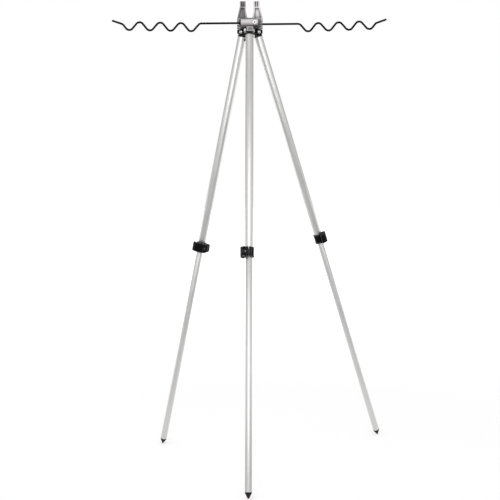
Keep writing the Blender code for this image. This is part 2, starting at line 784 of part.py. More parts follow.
def add_arm(head, name):
    """One fold-up arm in a frame on its bolt's axis. The right arm is the left one turned half way round."""
    turn = 0 if name == "left" else 180
    side = frame(f"arm_side_{name}", head, rotation=(0, 0, turn))
    plane = block_back() + BLOCK_THICKNESS / 2
    arm = frame(f"arm_axis_{name}", side, location=(ARM_BOLT_OFFSET, -plane, seat_height()))
    add_block(name, arm)
    add_wire(name, arm)
    front = BLOCK_THICKNESS / 2 + GAP
    washer = turned(
        [
            (ARM_WASHER_RADIUS, front + ARM_WASHER_THICKNESS),
            (ARM_WASHER_RADIUS, front),
            (ARM_BOLT_RADIUS + BOLT_GAP, front),
            (ARM_BOLT_RADIUS + BOLT_GAP, front + ARM_WASHER_THICKNESS),
        ],
        24,
        FROM_FRONT,
    )
    piece(f"arm_washer_{name}", washer, arm, "zinc_steel")
    seat = front + ARM_WASHER_THICKNESS + GAP
    end = -(BLOCK_THICKNESS / 2 + 2 * GAP + INSERT_LENGTH - EDGE)
    profile = domed_head(ARM_BOLT_HEAD_RADIUS, ARM_BOLT_HEAD_HEIGHT, seat) + [
        (ARM_BOLT_RADIUS, seat),
        (ARM_BOLT_RADIUS, end),
        (0, end),
    ]
    bolt = piece(f"arm_bolt_{name}", turned(profile, 20, FROM_FRONT), arm, "zinc_steel")
    hexagon = arc((0, 0), ARM_BOLT_SOCKET / 2, 0, 300, 5)
    socket = prism(hexagon, seat + ARM_BOLT_HEAD_HEIGHT * 0.3, 2 * seat, FROM_FRONT)
    cut(bolt, helper(f"bolt_socket_{name}", socket, arm))
    back = BLOCK_THICKNESS / 2 + GAP
    insert = turned(
        [
            (INSERT_RADIUS, -back),
            (INSERT_RADIUS, -back - INSERT_LENGTH),
            (ARM_BOLT_RADIUS + BOLT_GAP, -back - INSERT_LENGTH),
            (ARM_BOLT_RADIUS + BOLT_GAP, -back),
        ],
        20,
        FROM_FRONT,
    )
    piece(f"arm_insert_{name}", insert, arm, "brass")


# Legs


def flange_top():
    """How far the leg cap's flange lies below the pivot: it meets the ears' round corners at the widest opening."""
    widest = math.radians(WIDEST_OPENING)
    across = (EAR_REACH - EAR_CORNER) * math.sin(widest)
    down = (-HUB_BOTTOM - EAR_CORNER) * math.cos(widest)
    return across + down + EAR_CORNER + GAP


def flange_bottom():
    """How far the leg cap's flange reaches below the pivot."""
    return flange_top() + FLANGE_HEIGHT


def tube_top():
    """How far the upper tube's top lies below the pivot."""
    return flange_bottom() + GAP


def tube_end():
    """How far the upper tube's lower end lies below the pivot."""
    return tube_top() + UPPER_LENGTH


def collar_centre():
    """How far the clamp's middle lies below the pivot."""
    return tube_end() + GAP - COLLAR_SHOULDER


def add_cap(name, leg, side):
    """The black cap: a flat tongue in the clevis, a flange on the tube and a spigot inside it."""
    outer = UPPER_DIAMETER / 2
    inner = outer - UPPER_WALL - GAP
    flange = turned(
        [
            (0, -flange_top()),
            (outer + FLANGE_LIP - EDGE, -flange_top()),
            (outer + FLANGE_LIP, -flange_top() - EDGE),
            (outer + FLANGE_LIP, -flange_bottom()),
            (inner, -flange_bottom()),
            (inner, -flange_bottom() - SPIGOT_LENGTH + 2 * EDGE),
            (inner - 2 * EDGE, -flange_bottom() - SPIGOT_LENGTH),
            (0, -flange_bottom() - SPIGOT_LENGTH),
        ],
        TUBE_STEPS,
    )
    cap = piece(f"leg_cap_{name}", flange, leg, "black_plastic")
    half = TONGUE_WIDTH / 2
    top = arc((0, 0), half, 0, 180, 10)
    tongue = top + [(-half, -flange_top() - JOIN_DEPTH), (half, -flange_top() - JOIN_DEPTH)]
    flat = prism(tongue, -TONGUE_THICKNESS / 2, TONGUE_THICKNESS / 2, FROM_FRONT)
    join(cap, helper(f"tongue_{name}", flat, leg))
    hole = rod(PIVOT_BOLT_RADIUS + BOLT_GAP, -TONGUE_WIDTH, TONGUE_WIDTH, 16, FROM_FRONT)
    cut(cap, helper(f"tongue_hole_{name}", hole, leg))
    cut(cap, helper(f"cap_rivet_hole_{name}", rivet_hole(side), leg))


def rivet_axis(side):
    """From a profile along Z to the rivet's axis, outward through the tube's wall."""
    outward = Matrix.Rotation(math.radians(side["rivet_turn"]), 4, "Z")
    level = Matrix.Translation((0, 0, -flange_bottom() - RIVET_DROP))
    return level @ outward @ Matrix.Rotation(math.radians(90), 4, "Y")


def rivet_hole(side):
    """The rivet's hole, through the tube's wall and into the cap's spigot."""
    start = UPPER_DIAMETER / 2 - RIVET_DEPTH - GAP
    return rod(RIVET_RADIUS + GAP, start, UPPER_DIAMETER, 16, rivet_axis(side))


def add_rivet(name, leg, side):
    """The rivet that holds the tube on the cap's spigot."""
    seat = UPPER_DIAMETER / 2 + GAP
    profile = domed_head(RIVET_HEAD_RADIUS, RIVET_HEAD_HEIGHT, seat, 3) + [
        (RIVET_RADIUS, seat),
        (RIVET_RADIUS, UPPER_DIAMETER / 2 - RIVET_DEPTH),
        (0, UPPER_DIAMETER / 2 - RIVET_DEPTH),
    ]
    piece(f"cap_rivet_{name}", turned(profile, 16, rivet_axis(side)), leg, "blackened_steel")


def add_upper_tube(name, leg, side):
    """The upper leg tube."""
    outer = UPPER_DIAMETER / 2
    tube = pipe(outer, outer - UPPER_WALL, -tube_end(), -tube_top(), TUBE_STEPS)
    tube = piece(f"upper_tube_{name}", tube, leg, "satin_aluminium")
    cut(tube, helper(f"tube_rivet_hole_{name}", rivet_hole(side), leg))


def ring_radius():
    """The clamp ring's outer radius, between its beads."""
    return UPPER_DIAMETER / 2 + GAP + COLLAR_WALL


def screw_offset():
    """How far the clamp screw's axis lies from the tube's axis."""
    return UPPER_DIAMETER / 2 + CLAMP_SCREW_RADIUS + CLAMP_SCREW_CLEARANCE


def ear_end():
    """How far the clamp's ears reach from the tube's axis."""
    return UPPER_DIAMETER / 2 + CLAMP_EAR_LENGTH


def pin_place():
    """The lever pin's place across the clamp: outward from the tube, and along the screw."""
    return screw_offset(), -(CLAMP_EAR_SIDE + LEVER_GAP + KNUCKLE_RADIUS)


def screw_axis():
    """From a profile along Z to the clamp screw's axis, which runs from its head towards the pin."""
    return Matrix.Translation((screw_offset(), 0, 0)) @ FROM_FRONT


def clamp_ears():
    """The two ears in one block: a flat plate outward from the ring with round outer corners."""
    half = COLLAR_HEIGHT / 2 - CLAMP_EAR_STEP
    root = UPPER_DIAMETER / 4
    outline = rounded(
        [
            (root, -half, 0),
            (ear_end(), -half, CLAMP_EAR_CORNER),
            (ear_end(), half, CLAMP_EAR_CORNER),
            (root, half, 0),
        ]
    )
    return prism(outline, -CLAMP_EAR_SIDE, CLAMP_EAR_SIDE, FROM_FRONT)


def clamp_split(width):
    """The cut of this width between the ears, from the bore outward."""
    root = UPPER_DIAMETER / 4
    return box((root, -width / 2, -COLLAR_HEIGHT), (2 * ear_end(), width / 2, COLLAR_HEIGHT))


def add_collar(name, clamp):
    """The split clamp collar: it grips the upper tube's end and, below a shoulder, the lower tube."""
    half = COLLAR_HEIGHT / 2
    ring = ring_radius()
    bead = ring + COLLAR_BEAD
    edge = COLLAR_BEAD_HEIGHT
    body = turned(
        [
            (0, half),
            (bead - EDGE, half),
            (bead, half - EDGE),
            (bead, half - edge),
            (ring, half - edge - COLLAR_BEAD),
            (ring, -half + edge + COLLAR_BEAD),
            (bead, -half + edge),
            (bead, -half + EDGE),
            (bead - EDGE, -half),
            (0, -half),
        ],
        TUBE_STEPS,
    )
    collar = piece(f"clamp_collar_{name}", body, clamp, "black_plastic")
    join(collar, helper(f"clamp_ears_{name}", clamp_ears(), clamp))
    upper = UPPER_DIAMETER / 2 + GAP
    lower = LOWER_DIAMETER / 2 + GAP
    shoulder = -COLLAR_SHOULDER
    bore = turned(
        [
            (0, 2 * half),
            (upper, 2 * half),
            (upper, shoulder),
            (lower, shoulder),
            (lower, -2 * half),
            (0, -2 * half),
        ],
        TUBE_STEPS,
    )
    cut(collar, helper(f"collar_bore_{name}", bore, clamp))
    cut(collar, helper(f"collar_split_{name}", clamp_split(COLLAR_SPLIT), clamp))
    boss = rod(BOSS_RADIUS, -COLLAR_SPLIT, COLLAR_SPLIT, 24, screw_axis())
    join(collar, helper(f"collar_boss_{name}", boss, clamp))
    cut(collar, helper(f"boss_split_{name}", clamp_split(BOSS_SPLIT), clamp))
    sink = CLAMP_SCREW_HEAD_HEIGHT - CLAMP_EAR_SIDE
    hole = turned(
        [
            (0, 2 * CLAMP_EAR_SIDE),
            (CLAMP_SCREW_RADIUS + BOLT_GAP, 2 * CLAMP_EAR_SIDE),
            (CLAMP_SCREW_RADIUS + BOLT_GAP, sink),
            (CLAMP_SCREW_HEAD_RADIUS + GAP, sink),
            (CLAMP_SCREW_HEAD_RADIUS + GAP, -2 * CLAMP_EAR_SIDE),
            (0, -2 * CLAMP_EAR_SIDE),
        ],
        16,
        screw_axis(),
    )
    cut(collar, helper(f"screw_hole_{name}", hole, clamp))


def add_clamp_screw(name, clamp):
    """The screw that draws the ears together between its head and the lever's pin."""
    seat = CLAMP_SCREW_HEAD_HEIGHT - CLAMP_EAR_SIDE - GAP
    end = -pin_place()[1] + CLAMP_PIN_RADIUS * 0.6
    rim = seat - CLAMP_SCREW_HEAD_HEIGHT + GAP
    screw = turned(
        [
            (0, end),
            (CLAMP_SCREW_RADIUS, end),
            (CLAMP_SCREW_RADIUS, seat),
            (CLAMP_SCREW_HEAD_RADIUS, seat),
            (CLAMP_SCREW_HEAD_RADIUS, rim + EDGE),
            (CLAMP_SCREW_HEAD_RADIUS - EDGE, rim),
            (0, rim),
        ],
        16,
        screw_axis(),
    )
    piece(f"clamp_screw_{name}", screw, clamp, "zinc_steel")


def add_clamp_pin(name, axis):
    """The steel barrel pin that the lever turns on, cross-drilled for the screw."""
    half = COLLAR_HEIGHT / 2 - GAP
    pin = piece(f"lever_pin_{name}", rod(CLAMP_PIN_RADIUS, -half, half, 20), axis, "blackened_steel")
    across = rod(CLAMP_SCREW_RADIUS + BOLT_GAP, -2 * CLAMP_PIN_RADIUS, 2 * CLAMP_PIN_RADIUS, 16, FROM_FRONT)
    cut(pin, helper(f"pin_hole_{name}", across, axis))


def lever_shell():
    """The lever's curved plate round the tube, from the pin to a lip with round corners at its free end."""
    out, along = pin_place()
    middle = math.hypot(out, along)
    inner = middle - LEVER_THICKNESS / 2
    outer = middle + LEVER_THICKNESS / 2
    start = math.degrees(math.atan2(along, out))
    end = start - LEVER_SPAN
    half = COLLAR_HEIGHT / 2
    outline = arc((0, 0), outer, start, end + 2 * LEVER_LIP_SPAN, 14)
    outline += arc((0, 0), outer + LEVER_LIP, end + LEVER_LIP_SPAN, end, 1)
    outline += arc((0, 0), inner, end, start, 16)
    bm = prism(outline, -half, half)
    edge_way = Vector((math.cos(math.radians(end)), math.sin(math.radians(end))))
    corners = [
        edge
        for edge in bm.edges
        if all(abs(v.co.xy.cross(edge_way)) < 1e-6 and v.co.xy.dot(edge_way) > 0 for v in edge.verts)
        and abs(edge.verts[0].co.z - edge.verts[1].co.z) < 1e-6
    ]
    bmesh.ops.bevel(bm, geom=corners, offset=LEVER_CORNER, segments=4, affect="EDGES", profile=0.5)
    return bm


def slot_side():
    """How far the knuckle's slot reaches beyond the pin's axis, on the side away from the screw's sweep."""
    return CLAMP_SCREW_RADIUS + BOLT_GAP


def slot_depth():
    """How far the slot reaches past the pin's axis, for the screw when the lever is fully open."""
    past = math.radians(LEVER_SWING - 90)
    return KNUCKLE_RADIUS * math.sin(past) + slot_side() * math.cos(past)


def add_lever(name, axis):
    """The flip lever, modelled about its pin: a knuckle in two cheeks and the curved plate."""
    out, along = pin_place()
    half = COLLAR_HEIGHT / 2
    to_pin = Matrix.Translation((-out, -along, 0))
    lever = piece(f"clamp_lever_{name}", moved(lever_shell(), to_pin), axis, "black_plastic")
    knuckle = turned(
        [
            (0, half - EDGE),
            (KNUCKLE_RADIUS - EDGE, half - EDGE),
            (KNUCKLE_RADIUS, half - 2 * EDGE),
            (KNUCKLE_RADIUS, -half + 2 * EDGE),
            (KNUCKLE_RADIUS - EDGE, -half + EDGE),
            (0, -half + EDGE),
        ],
        24,
    )
    join(lever, helper(f"knuckle_{name}", knuckle, axis))
    sweep = 2 * KNUCKLE_RADIUS
    slot = box((-slot_side(), -slot_depth(), -LEVER_SLOT / 2), (sweep, sweep, LEVER_SLOT / 2))
    cut(lever, helper(f"knuckle_slot_{name}", slot, axis))
    bore = rod(CLAMP_PIN_RADIUS + BOLT_GAP, -2 * half, 2 * half, 20)
    cut(lever, helper(f"knuckle_bore_{name}", bore, axis))


def add_clamp(name, leg, side):
    """The clamp at the upper tube's end, turned about the tube so that its ears face the side's way."""
    clamp = frame(f"clamp_{name}", leg, (0, 0, -collar_centre()), (0, 0, side["clamp_turn"]))
    add_collar(name, clamp)
    add_clamp_screw(name, clamp)
    axis = frame(f"lever_axis_{name}", clamp, (*pin_place(), 0))
    add_clamp_pin(name, axis)
    add_lever(name, axis)


def add_lower_section(name, leg, side):
    """The lower tube with its slide bush and foot, in a frame at the tube's lower end."""
    end = leg_reach(side["opening"]) - FOOT_LENGTH - GAP
    slide = frame(f"slide_{name}", leg, (0, 0, -end))
    outer = LOWER_DIAMETER / 2
    inner = outer - LOWER_WALL
    tube = pipe(outer, inner, 0, LOWER_LENGTH, TUBE_STEPS)
    piece(f"lower_tube_{name}", tube, slide, "satin_aluminium")
    plug = inner - GAP
    guide = UPPER_DIAMETER / 2 - UPPER_WALL - GAP
    top = LOWER_LENGTH + GAP
    bush = turned(
        [
            (0, top + BUSH_HEIGHT),
            (guide - EDGE, top + BUSH_HEIGHT),
            (guide, top + BUSH_HEIGHT - EDGE),
            (guide, top),
            (plug, top),
            (plug, top - BUSH_PLUG_LENGTH),
            (0, top - BUSH_PLUG_LENGTH),
        ],
        24,
    )
    piece(f"slide_bush_{name}", bush, slide, "black_plastic")
    add_foot(name, slide)


def add_foot(name, slide):
    """The conical foot: a plug in the tube, a lip under it and a cone to a round point."""
    plug = LOWER_DIAMETER / 2 - LOWER_WALL - GAP
    base = LOWER_DIAMETER / 2 + FOOT_LIP
    tip = -GAP - FOOT_LENGTH
    centre = tip + FOOT_TIP_RADIUS
    slope = math.atan2(base - FOOT_TIP_RADIUS, FOOT_LENGTH - FOOT_TIP_RADIUS)
    ball = [
        (FOOT_TIP_RADIUS * math.cos(a), centre + FOOT_TIP_RADIUS * math.sin(a))
        for a in (-slope - (math.pi / 2 - slope) * n / 5 for n in range(5))
    ]
    foot = turned(
        [
            (0, FOOT_PLUG_LENGTH),
            (plug - EDGE, FOOT_PLUG_LENGTH),
            (plug, FOOT_PLUG_LENGTH - EDGE),
            (plug, -GAP),
            (base, -GAP),
            (base, -GAP - FOOT_BAND),
            *ball,
            (0, tip),
        ],
        24,
    )
    piece(f"foot_tip_{name}", foot, slide, "black_plastic")


def add_leg(name, side, head):
    """One leg in a frame on its pivot, turned out to its side and opened."""
    azimuth = math.radians(side["azimuth"])
    place = (PIVOT_RADIUS * math.cos(azimuth), PIVOT_RADIUS * math.sin(azimuth), 0)
    leg = frame(f"leg_{name}", head, place, (0, -side["opening"], side["azimuth"]))
    add_cap(name, leg, side)
    add_rivet(name, leg, side)
    add_upper_tube(name, leg, side)
    add_clamp(name, leg, side)
    add_lower_section(name, leg, side)


def build():
    """Clear the scene and build the tripod."""
    for old in list(bpy.data.objects):
        bpy.data.objects.remove(old, do_unlink=True)
    centre = stand_centre()
    head = frame("head", None, (-centre[0], -centre[1], PIVOT_HEIGHT))
    add_hub(head)
    add_hub_screw(head)
    add_fork(head)
    for name in ("left", "right"):
        add_arm(head, name)
    for name, side in SIDES.items():
        add_pivot_bolt(head, name, side)
        add_leg(name, side, head)


build()
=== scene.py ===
"""Looks of the rod tripod: finer pieces, finishes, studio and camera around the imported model.

Metres, +Z up. Each leg has axes of its own, taken from its joints: its origin on the leg's pivot, X
outward, Y along the pivot bolt and Z up the leg. Each arm has its origin on its bolt and its wire
towards -X.
"""

import json
import logging
import math
from dataclasses import dataclass, field
from enum import Enum

import bmesh
import bpy
from mathutils import Matrix, Vector

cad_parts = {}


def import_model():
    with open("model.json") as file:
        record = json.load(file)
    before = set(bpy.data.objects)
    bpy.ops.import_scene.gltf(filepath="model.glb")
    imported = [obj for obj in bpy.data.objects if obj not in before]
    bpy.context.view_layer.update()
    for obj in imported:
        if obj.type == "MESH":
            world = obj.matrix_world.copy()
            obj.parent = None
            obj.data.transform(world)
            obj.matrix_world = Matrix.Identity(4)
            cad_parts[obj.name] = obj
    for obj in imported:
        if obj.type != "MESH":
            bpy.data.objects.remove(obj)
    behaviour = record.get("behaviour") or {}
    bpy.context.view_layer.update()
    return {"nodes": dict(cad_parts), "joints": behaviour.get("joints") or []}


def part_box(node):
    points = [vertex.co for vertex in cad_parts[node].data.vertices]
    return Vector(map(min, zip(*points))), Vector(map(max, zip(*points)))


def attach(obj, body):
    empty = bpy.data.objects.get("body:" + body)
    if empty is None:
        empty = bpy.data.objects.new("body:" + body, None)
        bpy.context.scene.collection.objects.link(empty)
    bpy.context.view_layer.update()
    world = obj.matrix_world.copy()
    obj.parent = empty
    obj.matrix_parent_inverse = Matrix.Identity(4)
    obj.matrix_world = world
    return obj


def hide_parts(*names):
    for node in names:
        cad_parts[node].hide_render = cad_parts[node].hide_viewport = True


log = logging.getLogger("rod_tripod")

PHOTO_WIDTH_PX = 500.0
SENSOR_MM = 36.0
SMOOTH_ANGLE = 32.0
FLAT_ANGLE = 1.0
ROUNDED_ANGLE = 30.0
ROUND_FACES = 2
SAME_PLACE = 1e-7
SAME_CAD_PLACE = 2e-6
CORNER_SHARE = 0.45
DOME_EDGE = 0.35
DOME_RIM = 0.25
DOME_CHAMFER = 0.2
SEAM = 0.9999
FROM_FRONT = Matrix.Rotation(math.radians(90), 4, "X")
HALF_TURN = Matrix.Rotation(math.pi, 4, "Z")

Pair = tuple[float, float]
Colour = tuple[float, float, float]
Place = tuple[float, float, float]
Tones = tuple[Colour, Colour]
Socket = bpy.types.NodeSocket

WHITE: Colour = (1.0, 1.0, 1.0)
HEXAGON = (0.0, 300.0, 5)
NOISE_SPREAD: Pair = (0.3, 0.7)
WAVE_SPREAD: Pair = (-1.0, 1.0)


class Slot(Enum):
    """The record's material slots."""

    SATIN_ALUMINIUM = "satin_aluminium"
    GREY_PLASTIC = "grey_plastic"
    BLACK_PLASTIC = "black_plastic"
    COATED_WIRE = "coated_wire"
    ZINC_STEEL = "zinc_steel"
    BLACKENED_STEEL = "blackened_steel"
    CAST_METAL = "cast_metal"
    BRASS = "brass"


class Side(Enum):
    """The sides that the legs and the arms stand on."""

    LEFT = "left"
    FRONT = "front"
    RIGHT = "right"


# Finishes


@dataclass(frozen=True)
class Grain:
    """Soft noise: waves per metre, octaves, a factor on places along Z, and how much it distorts itself."""

    waves: float
    octaves: float = 3.0
    along: float = 1.0
    warp: float = 0.0


@dataclass(frozen=True)
class Relief:
    """How far a grain from 0 to 1 stands up: its depth in metres and the bump's strength."""

    depth: float
    strength: float


class Tree:
    """The nodes of a new material or world, with short ways to add to them."""

    def __init__(self, owner: bpy.types.Material | bpy.types.World) -> None:
        """Start from the nodes that the owner comes with."""
        owner.use_nodes = True
        self.nodes, self.links = owner.node_tree.nodes, owner.node_tree.links

    def add(self, kind: str, **inputs: Socket | float | Colour) -> bpy.types.Node:
        """Add a node.

        Args:
            kind: the node's kind.
            inputs: sources or values for its inputs, each named with _ for a space.
        Returns:
            The node.
        """
        node = self.nodes.new(f"ShaderNode{kind}")
        for name, value in inputs.items():
            self.fill(node.inputs[name.replace("_", " ")], value)
        return node

    def fill(self, socket: Socket, value: Socket | float | Colour) -> None:
        """Link a source to a socket, or set the socket.

        Args:
            socket: the socket.
            value: a source, a number, or the colour of a colour socket.
        """
        if isinstance(value, Socket):
            self.links.new(value, socket)
        elif isinstance(value, tuple):
            socket.default_value = (*value, 1.0)
        else:
            socket.default_value = value

    def part(self, vector: Socket, axis: str) -> Socket:
        """A vector's part along one axis."""
        return self.add("SeparateXYZ", Vector=vector).outputs[axis]

    def span(
        self, source: Socket, low: float, high: float, width: Pair = NOISE_SPREAD, smooth: bool = False
    ) -> Socket:
        """Map a source, between two of its values, to a range.

        Args:
            source: the value to map.
            low: what the source's first value gives.
            high: what the source's second value gives.
            width: the source's two values.
            smooth: whether the range starts and ends softly.
        Returns:
            The mapped value.
        """
        ends = {"From_Min": width[0], "From_Max": width[1], "To_Min": low, "To_Max": high}
        node = self.add("MapRange", Value=source, **ends)
        node.interpolation_type = "SMOOTHSTEP" if smooth else "LINEAR"
        return node.outputs["Result"]

    def combined(self, operation: str, first: Socket, *others: Socket | float) -> Socket:
        """A Math node's result for two values, or for more of them in turn.

        Args:
            operation: the node's operation.
            first: the first value.
            others: the values after it; an operation on a single value takes 0 here.
        Returns:
            The result.
        """
        for other in others:
            node = self.add("Math")
            node.operation = operation
            self.fill(node.inputs[0], first)
            self.fill(node.inputs[1], other)
            first = node.outputs["Value"]
        return first

    def mixed(self, factor: Socket, off: Socket | float, on: Socket | float) -> Socket:
        """A value between two: off where the factor is 0, and on where it is 1."""
        return self.add("Mix", Factor=factor, A=off, B=on).outputs["Result"]

    def rays(self) -> tuple[Socket, Socket]:
        """Tell the camera's rays and the mirrored ones from the rest.

        Returns:
            Whether a ray comes from the camera, and whether it was mirrored or let through.
        """
        path = self.add("LightPath").outputs
        mirrored = self.combined("MAXIMUM", path["Is Glossy Ray"], path["Is Transmission Ray"])
        return path["Is Camera Ray"], mirrored


class Recipe(Tree):
    """A new material that reads places in its piece's own axes."""

    FACING: Pair = (0.84, 0.98)
    FLAT: Pair = (0.9, 0.99)
    EDGE_SAMPLES = 6
    HOLLOW_SAMPLES = 8

    def __init__(self, name: str) -> None:
        """Start the material.

        Args:
            name: its name.
        """
        self.material = bpy.data.materials.new(name)
        super().__init__(self.material)
        self.shader = self.nodes["Principled BSDF"]
        self.place = self.add("TexCoord").outputs["Object"]

    def feed(self, **values: Socket | float | Colour) -> None:
        """Link sources to the shader's sockets, or set them, each named with _ for a space."""
        for name, value in values.items():
            self.fill(self.shader.inputs[name.replace("_", " ")], value)

    def across(self, axis: str, low: float, high: float) -> Socket:
        """A ramp along one of the piece's axes, 0 at the low place and 1 at the high one."""
        return self.span(self.part(self.place, axis), 0.0, 1.0, (low, high))

    def noise(self, grain: Grain) -> Socket:
        """Soft noise over the piece.

        Args:
            grain: its sizes.
        Returns:
            The noise, from 0 to 1.
        """
        place = self.place
        if grain.along != 1.0:
            stretch = self.add("VectorMath")
            stretch.operation = "MULTIPLY"
            stretch.inputs[1].default_value = (1.0, 1.0, grain.along)
            self.fill(stretch.inputs[0], place)
            place = stretch.outputs["Vector"]
        sizes = {"Scale": grain.waves, "Detail": grain.octaves, "Distortion": grain.warp}
        return self.add("TexNoise", Vector=place, **sizes).outputs["Fac"]

    def speckle(self, scale: float) -> Socket:
        """Cell distances, for a cast or moulded grain of this many cells per metre."""
        return self.add("TexVoronoi", Scale=scale, Vector=self.place).outputs["Distance"]

    def blend(self, factor: Socket, first: Socket | Colour, second: Socket | Colour) -> Socket:
        """A colour between two.

        Args:
            factor: from 0 to 1.
            first: the colour where the factor is 0.
            second: the colour where it is 1.
        Returns:
            The colour.
        """
        node = self.add("Mix", Factor=factor)
        node.data_type = "RGBA"
        colours = [socket for socket in node.inputs if socket.type == "RGBA"]
        for socket, colour in zip(colours, (first, second)):
            self.fill(socket, colour)
        return next(socket for socket in node.outputs if socket.type == "RGBA")

    def emboss(self, height: Socket, relief: Relief) -> None:
        """Raise the surface by a height from 0 to 1."""
        bump = self.add("Bump", Height=height, Distance=relief.depth, Strength=relief.strength)
        self.feed(Normal=bump.outputs["Normal"])

    def rounded(self, radius: float) -> Socket:
        """The direction that the surface would face with rounder edges.

        Args:
            radius: the edges' radius.
        Returns:
            The direction.
        """
        node = self.add("Bevel", Radius=radius)
        node.samples = self.EDGE_SAMPLES
        return node.outputs["Normal"]

    def edges(self, radius: float) -> Socket:
        """0 on faces that look along Y, and 1 on the others and on edges as far as this radius goes."""
        size = self.combined("ABSOLUTE", self.part(self.rounded(radius), "Y"), 0.0)
        return self.span(size, 1.0, 0.0, self.FACING)

    def turns(self, radius: float) -> Socket:
        """0 on flats, and 1 on edges.

        Args:
            radius: how far the edges reach.
        Returns:
            The value.
        """
        turn = self.add("VectorMath")
        turn.operation = "DOT_PRODUCT"
        self.fill(turn.inputs[0], self.rounded(radius))
        self.fill(turn.inputs[1], self.add("NewGeometry").outputs["Normal"])
        return self.span(turn.outputs["Value"], 1.0, 0.0, self.FLAT)

    def hollows(self, reach: float, width: Pair) -> Socket:
        """0 in recesses and 1 in the open.

        Args:
            reach: how near another surface has to be to count.
            width: how much of the view is free of them, where the result is 0 and where it is 1.
        Returns:
            The value.
        """
        node = self.add("AmbientOcclusion", Distance=reach)
        node.samples = self.HOLLOW_SAMPLES
        return self.span(node.outputs["AO"], 0.0, 1.0, width)


@dataclass(frozen=True)
class TubeFinish:
    """Satin-anodised drawn tube: fine lines along it, soft clouding and faint scuffs that change its gloss.
    """

    slot: Slot = Slot.SATIN_ALUMINIUM
    tones: Tones = ((0.76, 0.755, 0.745), (0.83, 0.825, 0.815))
    roughness: Pair = (0.33, 0.42)
    lines: Grain = Grain(1500.0, 3.0, 0.012)
    streaks: Grain = Grain(300.0, 2.0, 0.012)
    cloud: Grain = Grain(28.0, 3.0, 0.4, 0.4)
    rubbing_and_sheen: Grain = Grain(160.0, 4.0, 0.15, 0.6)
    streak_share: float = 0.45
    rubbed_roughness: Pair = (-0.02, 0.04)
    line_roughness: Pair = (-0.03, 0.03)
    relief: Relief = Relief(0.00002, 0.35)

    def make(self) -> bpy.types.Material:
        """Make the finish.

        Returns:
            Its material; Z runs along the tube.
        """
        recipe = Recipe(self.slot.value)
        lines, streaks = recipe.noise(self.lines), recipe.noise(self.streaks)
        cloud, rubbing_and_sheen = recipe.noise(self.cloud), recipe.noise(self.rubbing_and_sheen)
        cloudy = recipe.span(cloud, 0.0, 1.0 - self.streak_share)
        tone = recipe.combined("ADD", recipe.span(streaks, 0.0, self.streak_share), cloudy)
        roughness = recipe.combined(
            "ADD",
            recipe.span(cloud, *self.roughness),
            recipe.span(rubbing_and_sheen, *self.rubbed_roughness),
            recipe.span(lines, *self.line_roughness),
        )
        recipe.emboss(recipe.combined("ADD", lines, streaks), self.relief)
        recipe.feed(Base_Color=recipe.blend(tone, *self.tones), Roughness=roughness, Metallic=1.0)
        return recipe.material


@dataclass(frozen=True)
class HeadFinish:
    """Gunmetal grey moulding: painted light makes it lighter towards the right (+X) and the top, with
    painted shade on its edges and in its hollows, and painted highlights in patches along the crest of each
    rail.

    Each pair of colours is for the darker side and for the painted lit side.
    """

    slot: Slot = Slot.GREY_PLASTIC
    # Painted shade in hollows: the dark colour there, on the darker side and on the lit side.
    painted_hollow_shades: Tones = ((0.006, 0.0055, 0.006), (0.2, 0.19, 0.195))
    tones: Tones = ((0.12, 0.111, 0.116), (0.88, 0.843, 0.865))
    # Painted highlights along the crest of each rail, on the darker side and on the lit side.
    crest_highlights: Tones = ((0.62, 0.588, 0.605), (0.95, 0.915, 0.935))
    # Painted shade: a dark line along the edges.
    edge: Colour = (0.012, 0.011, 0.012)
    roughness: Pair = (0.3, 0.42)
    flow: Grain = Grain(70.0, 4.0, 0.5, 1.2)
    skin: Grain = Grain(1900.0, 2.0)
    # Noise that breaks the painted highlights along the rails into patches.
    highlight_patches: Grain = Grain(220.0)
    least_highlight: float = 0.5
    flow_drift: Pair = (-0.15, 0.15)
    # Where the painted light is strongest: ramps across X and up Z.
    lit_side_across: Pair = (-0.022, 0.01)
    lit_side_up: Pair = (0.948, 0.978)
    hollow_reach: float = 0.006
    hollow_width: Pair = (0.45, 0.97)
    edge_radius: float = 0.0026
    crest_radius: float = 0.0075
    skin_share: float = 0.3
    relief: Relief = Relief(0.00004, 0.6)
    metallic: float = 0.3
    coat: float = 0.1
    coat_roughness: float = 0.12

    def make(self) -> bpy.types.Material:
        """Make the finish.

        Returns:
            Its material.
        """
        recipe = Recipe(self.slot.value)
        flow, highlight_patches = recipe.noise(self.flow), recipe.noise(self.highlight_patches)
        # Painted light: lighter towards the right and the top, drifting with the flow noise.
        across, up = recipe.across("X", *self.lit_side_across), recipe.across("Z", *self.lit_side_up)
        lit_side = recipe.combined("MULTIPLY", across, up)
        lit_side = recipe.combined("ADD", lit_side, recipe.span(flow, *self.flow_drift))
        lit_side = recipe.span(lit_side, 0.0, 1.0, (0.0, 1.0))
        # Painted highlight along the crest of each rail, in patches.
        crest = recipe.edges(self.crest_radius)
        crest = recipe.combined("MULTIPLY", crest, recipe.span(highlight_patches, self.least_highlight, 1.0))
        tone = recipe.blend(crest, recipe.blend(lit_side, *self.tones), recipe.blend(lit_side, *self.crest_highlights))
        # Painted shade: a dark line along the edges.
        tone = recipe.blend(recipe.edges(self.edge_radius), tone, self.edge)
        # Painted shade in hollows, blended in below.
        unshaded = recipe.hollows(self.hollow_reach, self.hollow_width)
        skin = recipe.span(recipe.noise(self.skin), 0.0, self.skin_share)
        recipe.emboss(recipe.combined("ADD", skin, flow), self.relief)
        recipe.feed(
            Base_Color=recipe.blend(unshaded, recipe.blend(lit_side, *self.painted_hollow_shades), tone),
            Roughness=recipe.span(flow, *self.roughness),
            Metallic=self.metallic,
            Coat_Weight=self.coat,
            Coat_Roughness=self.coat_roughness,
        )
        return recipe.material


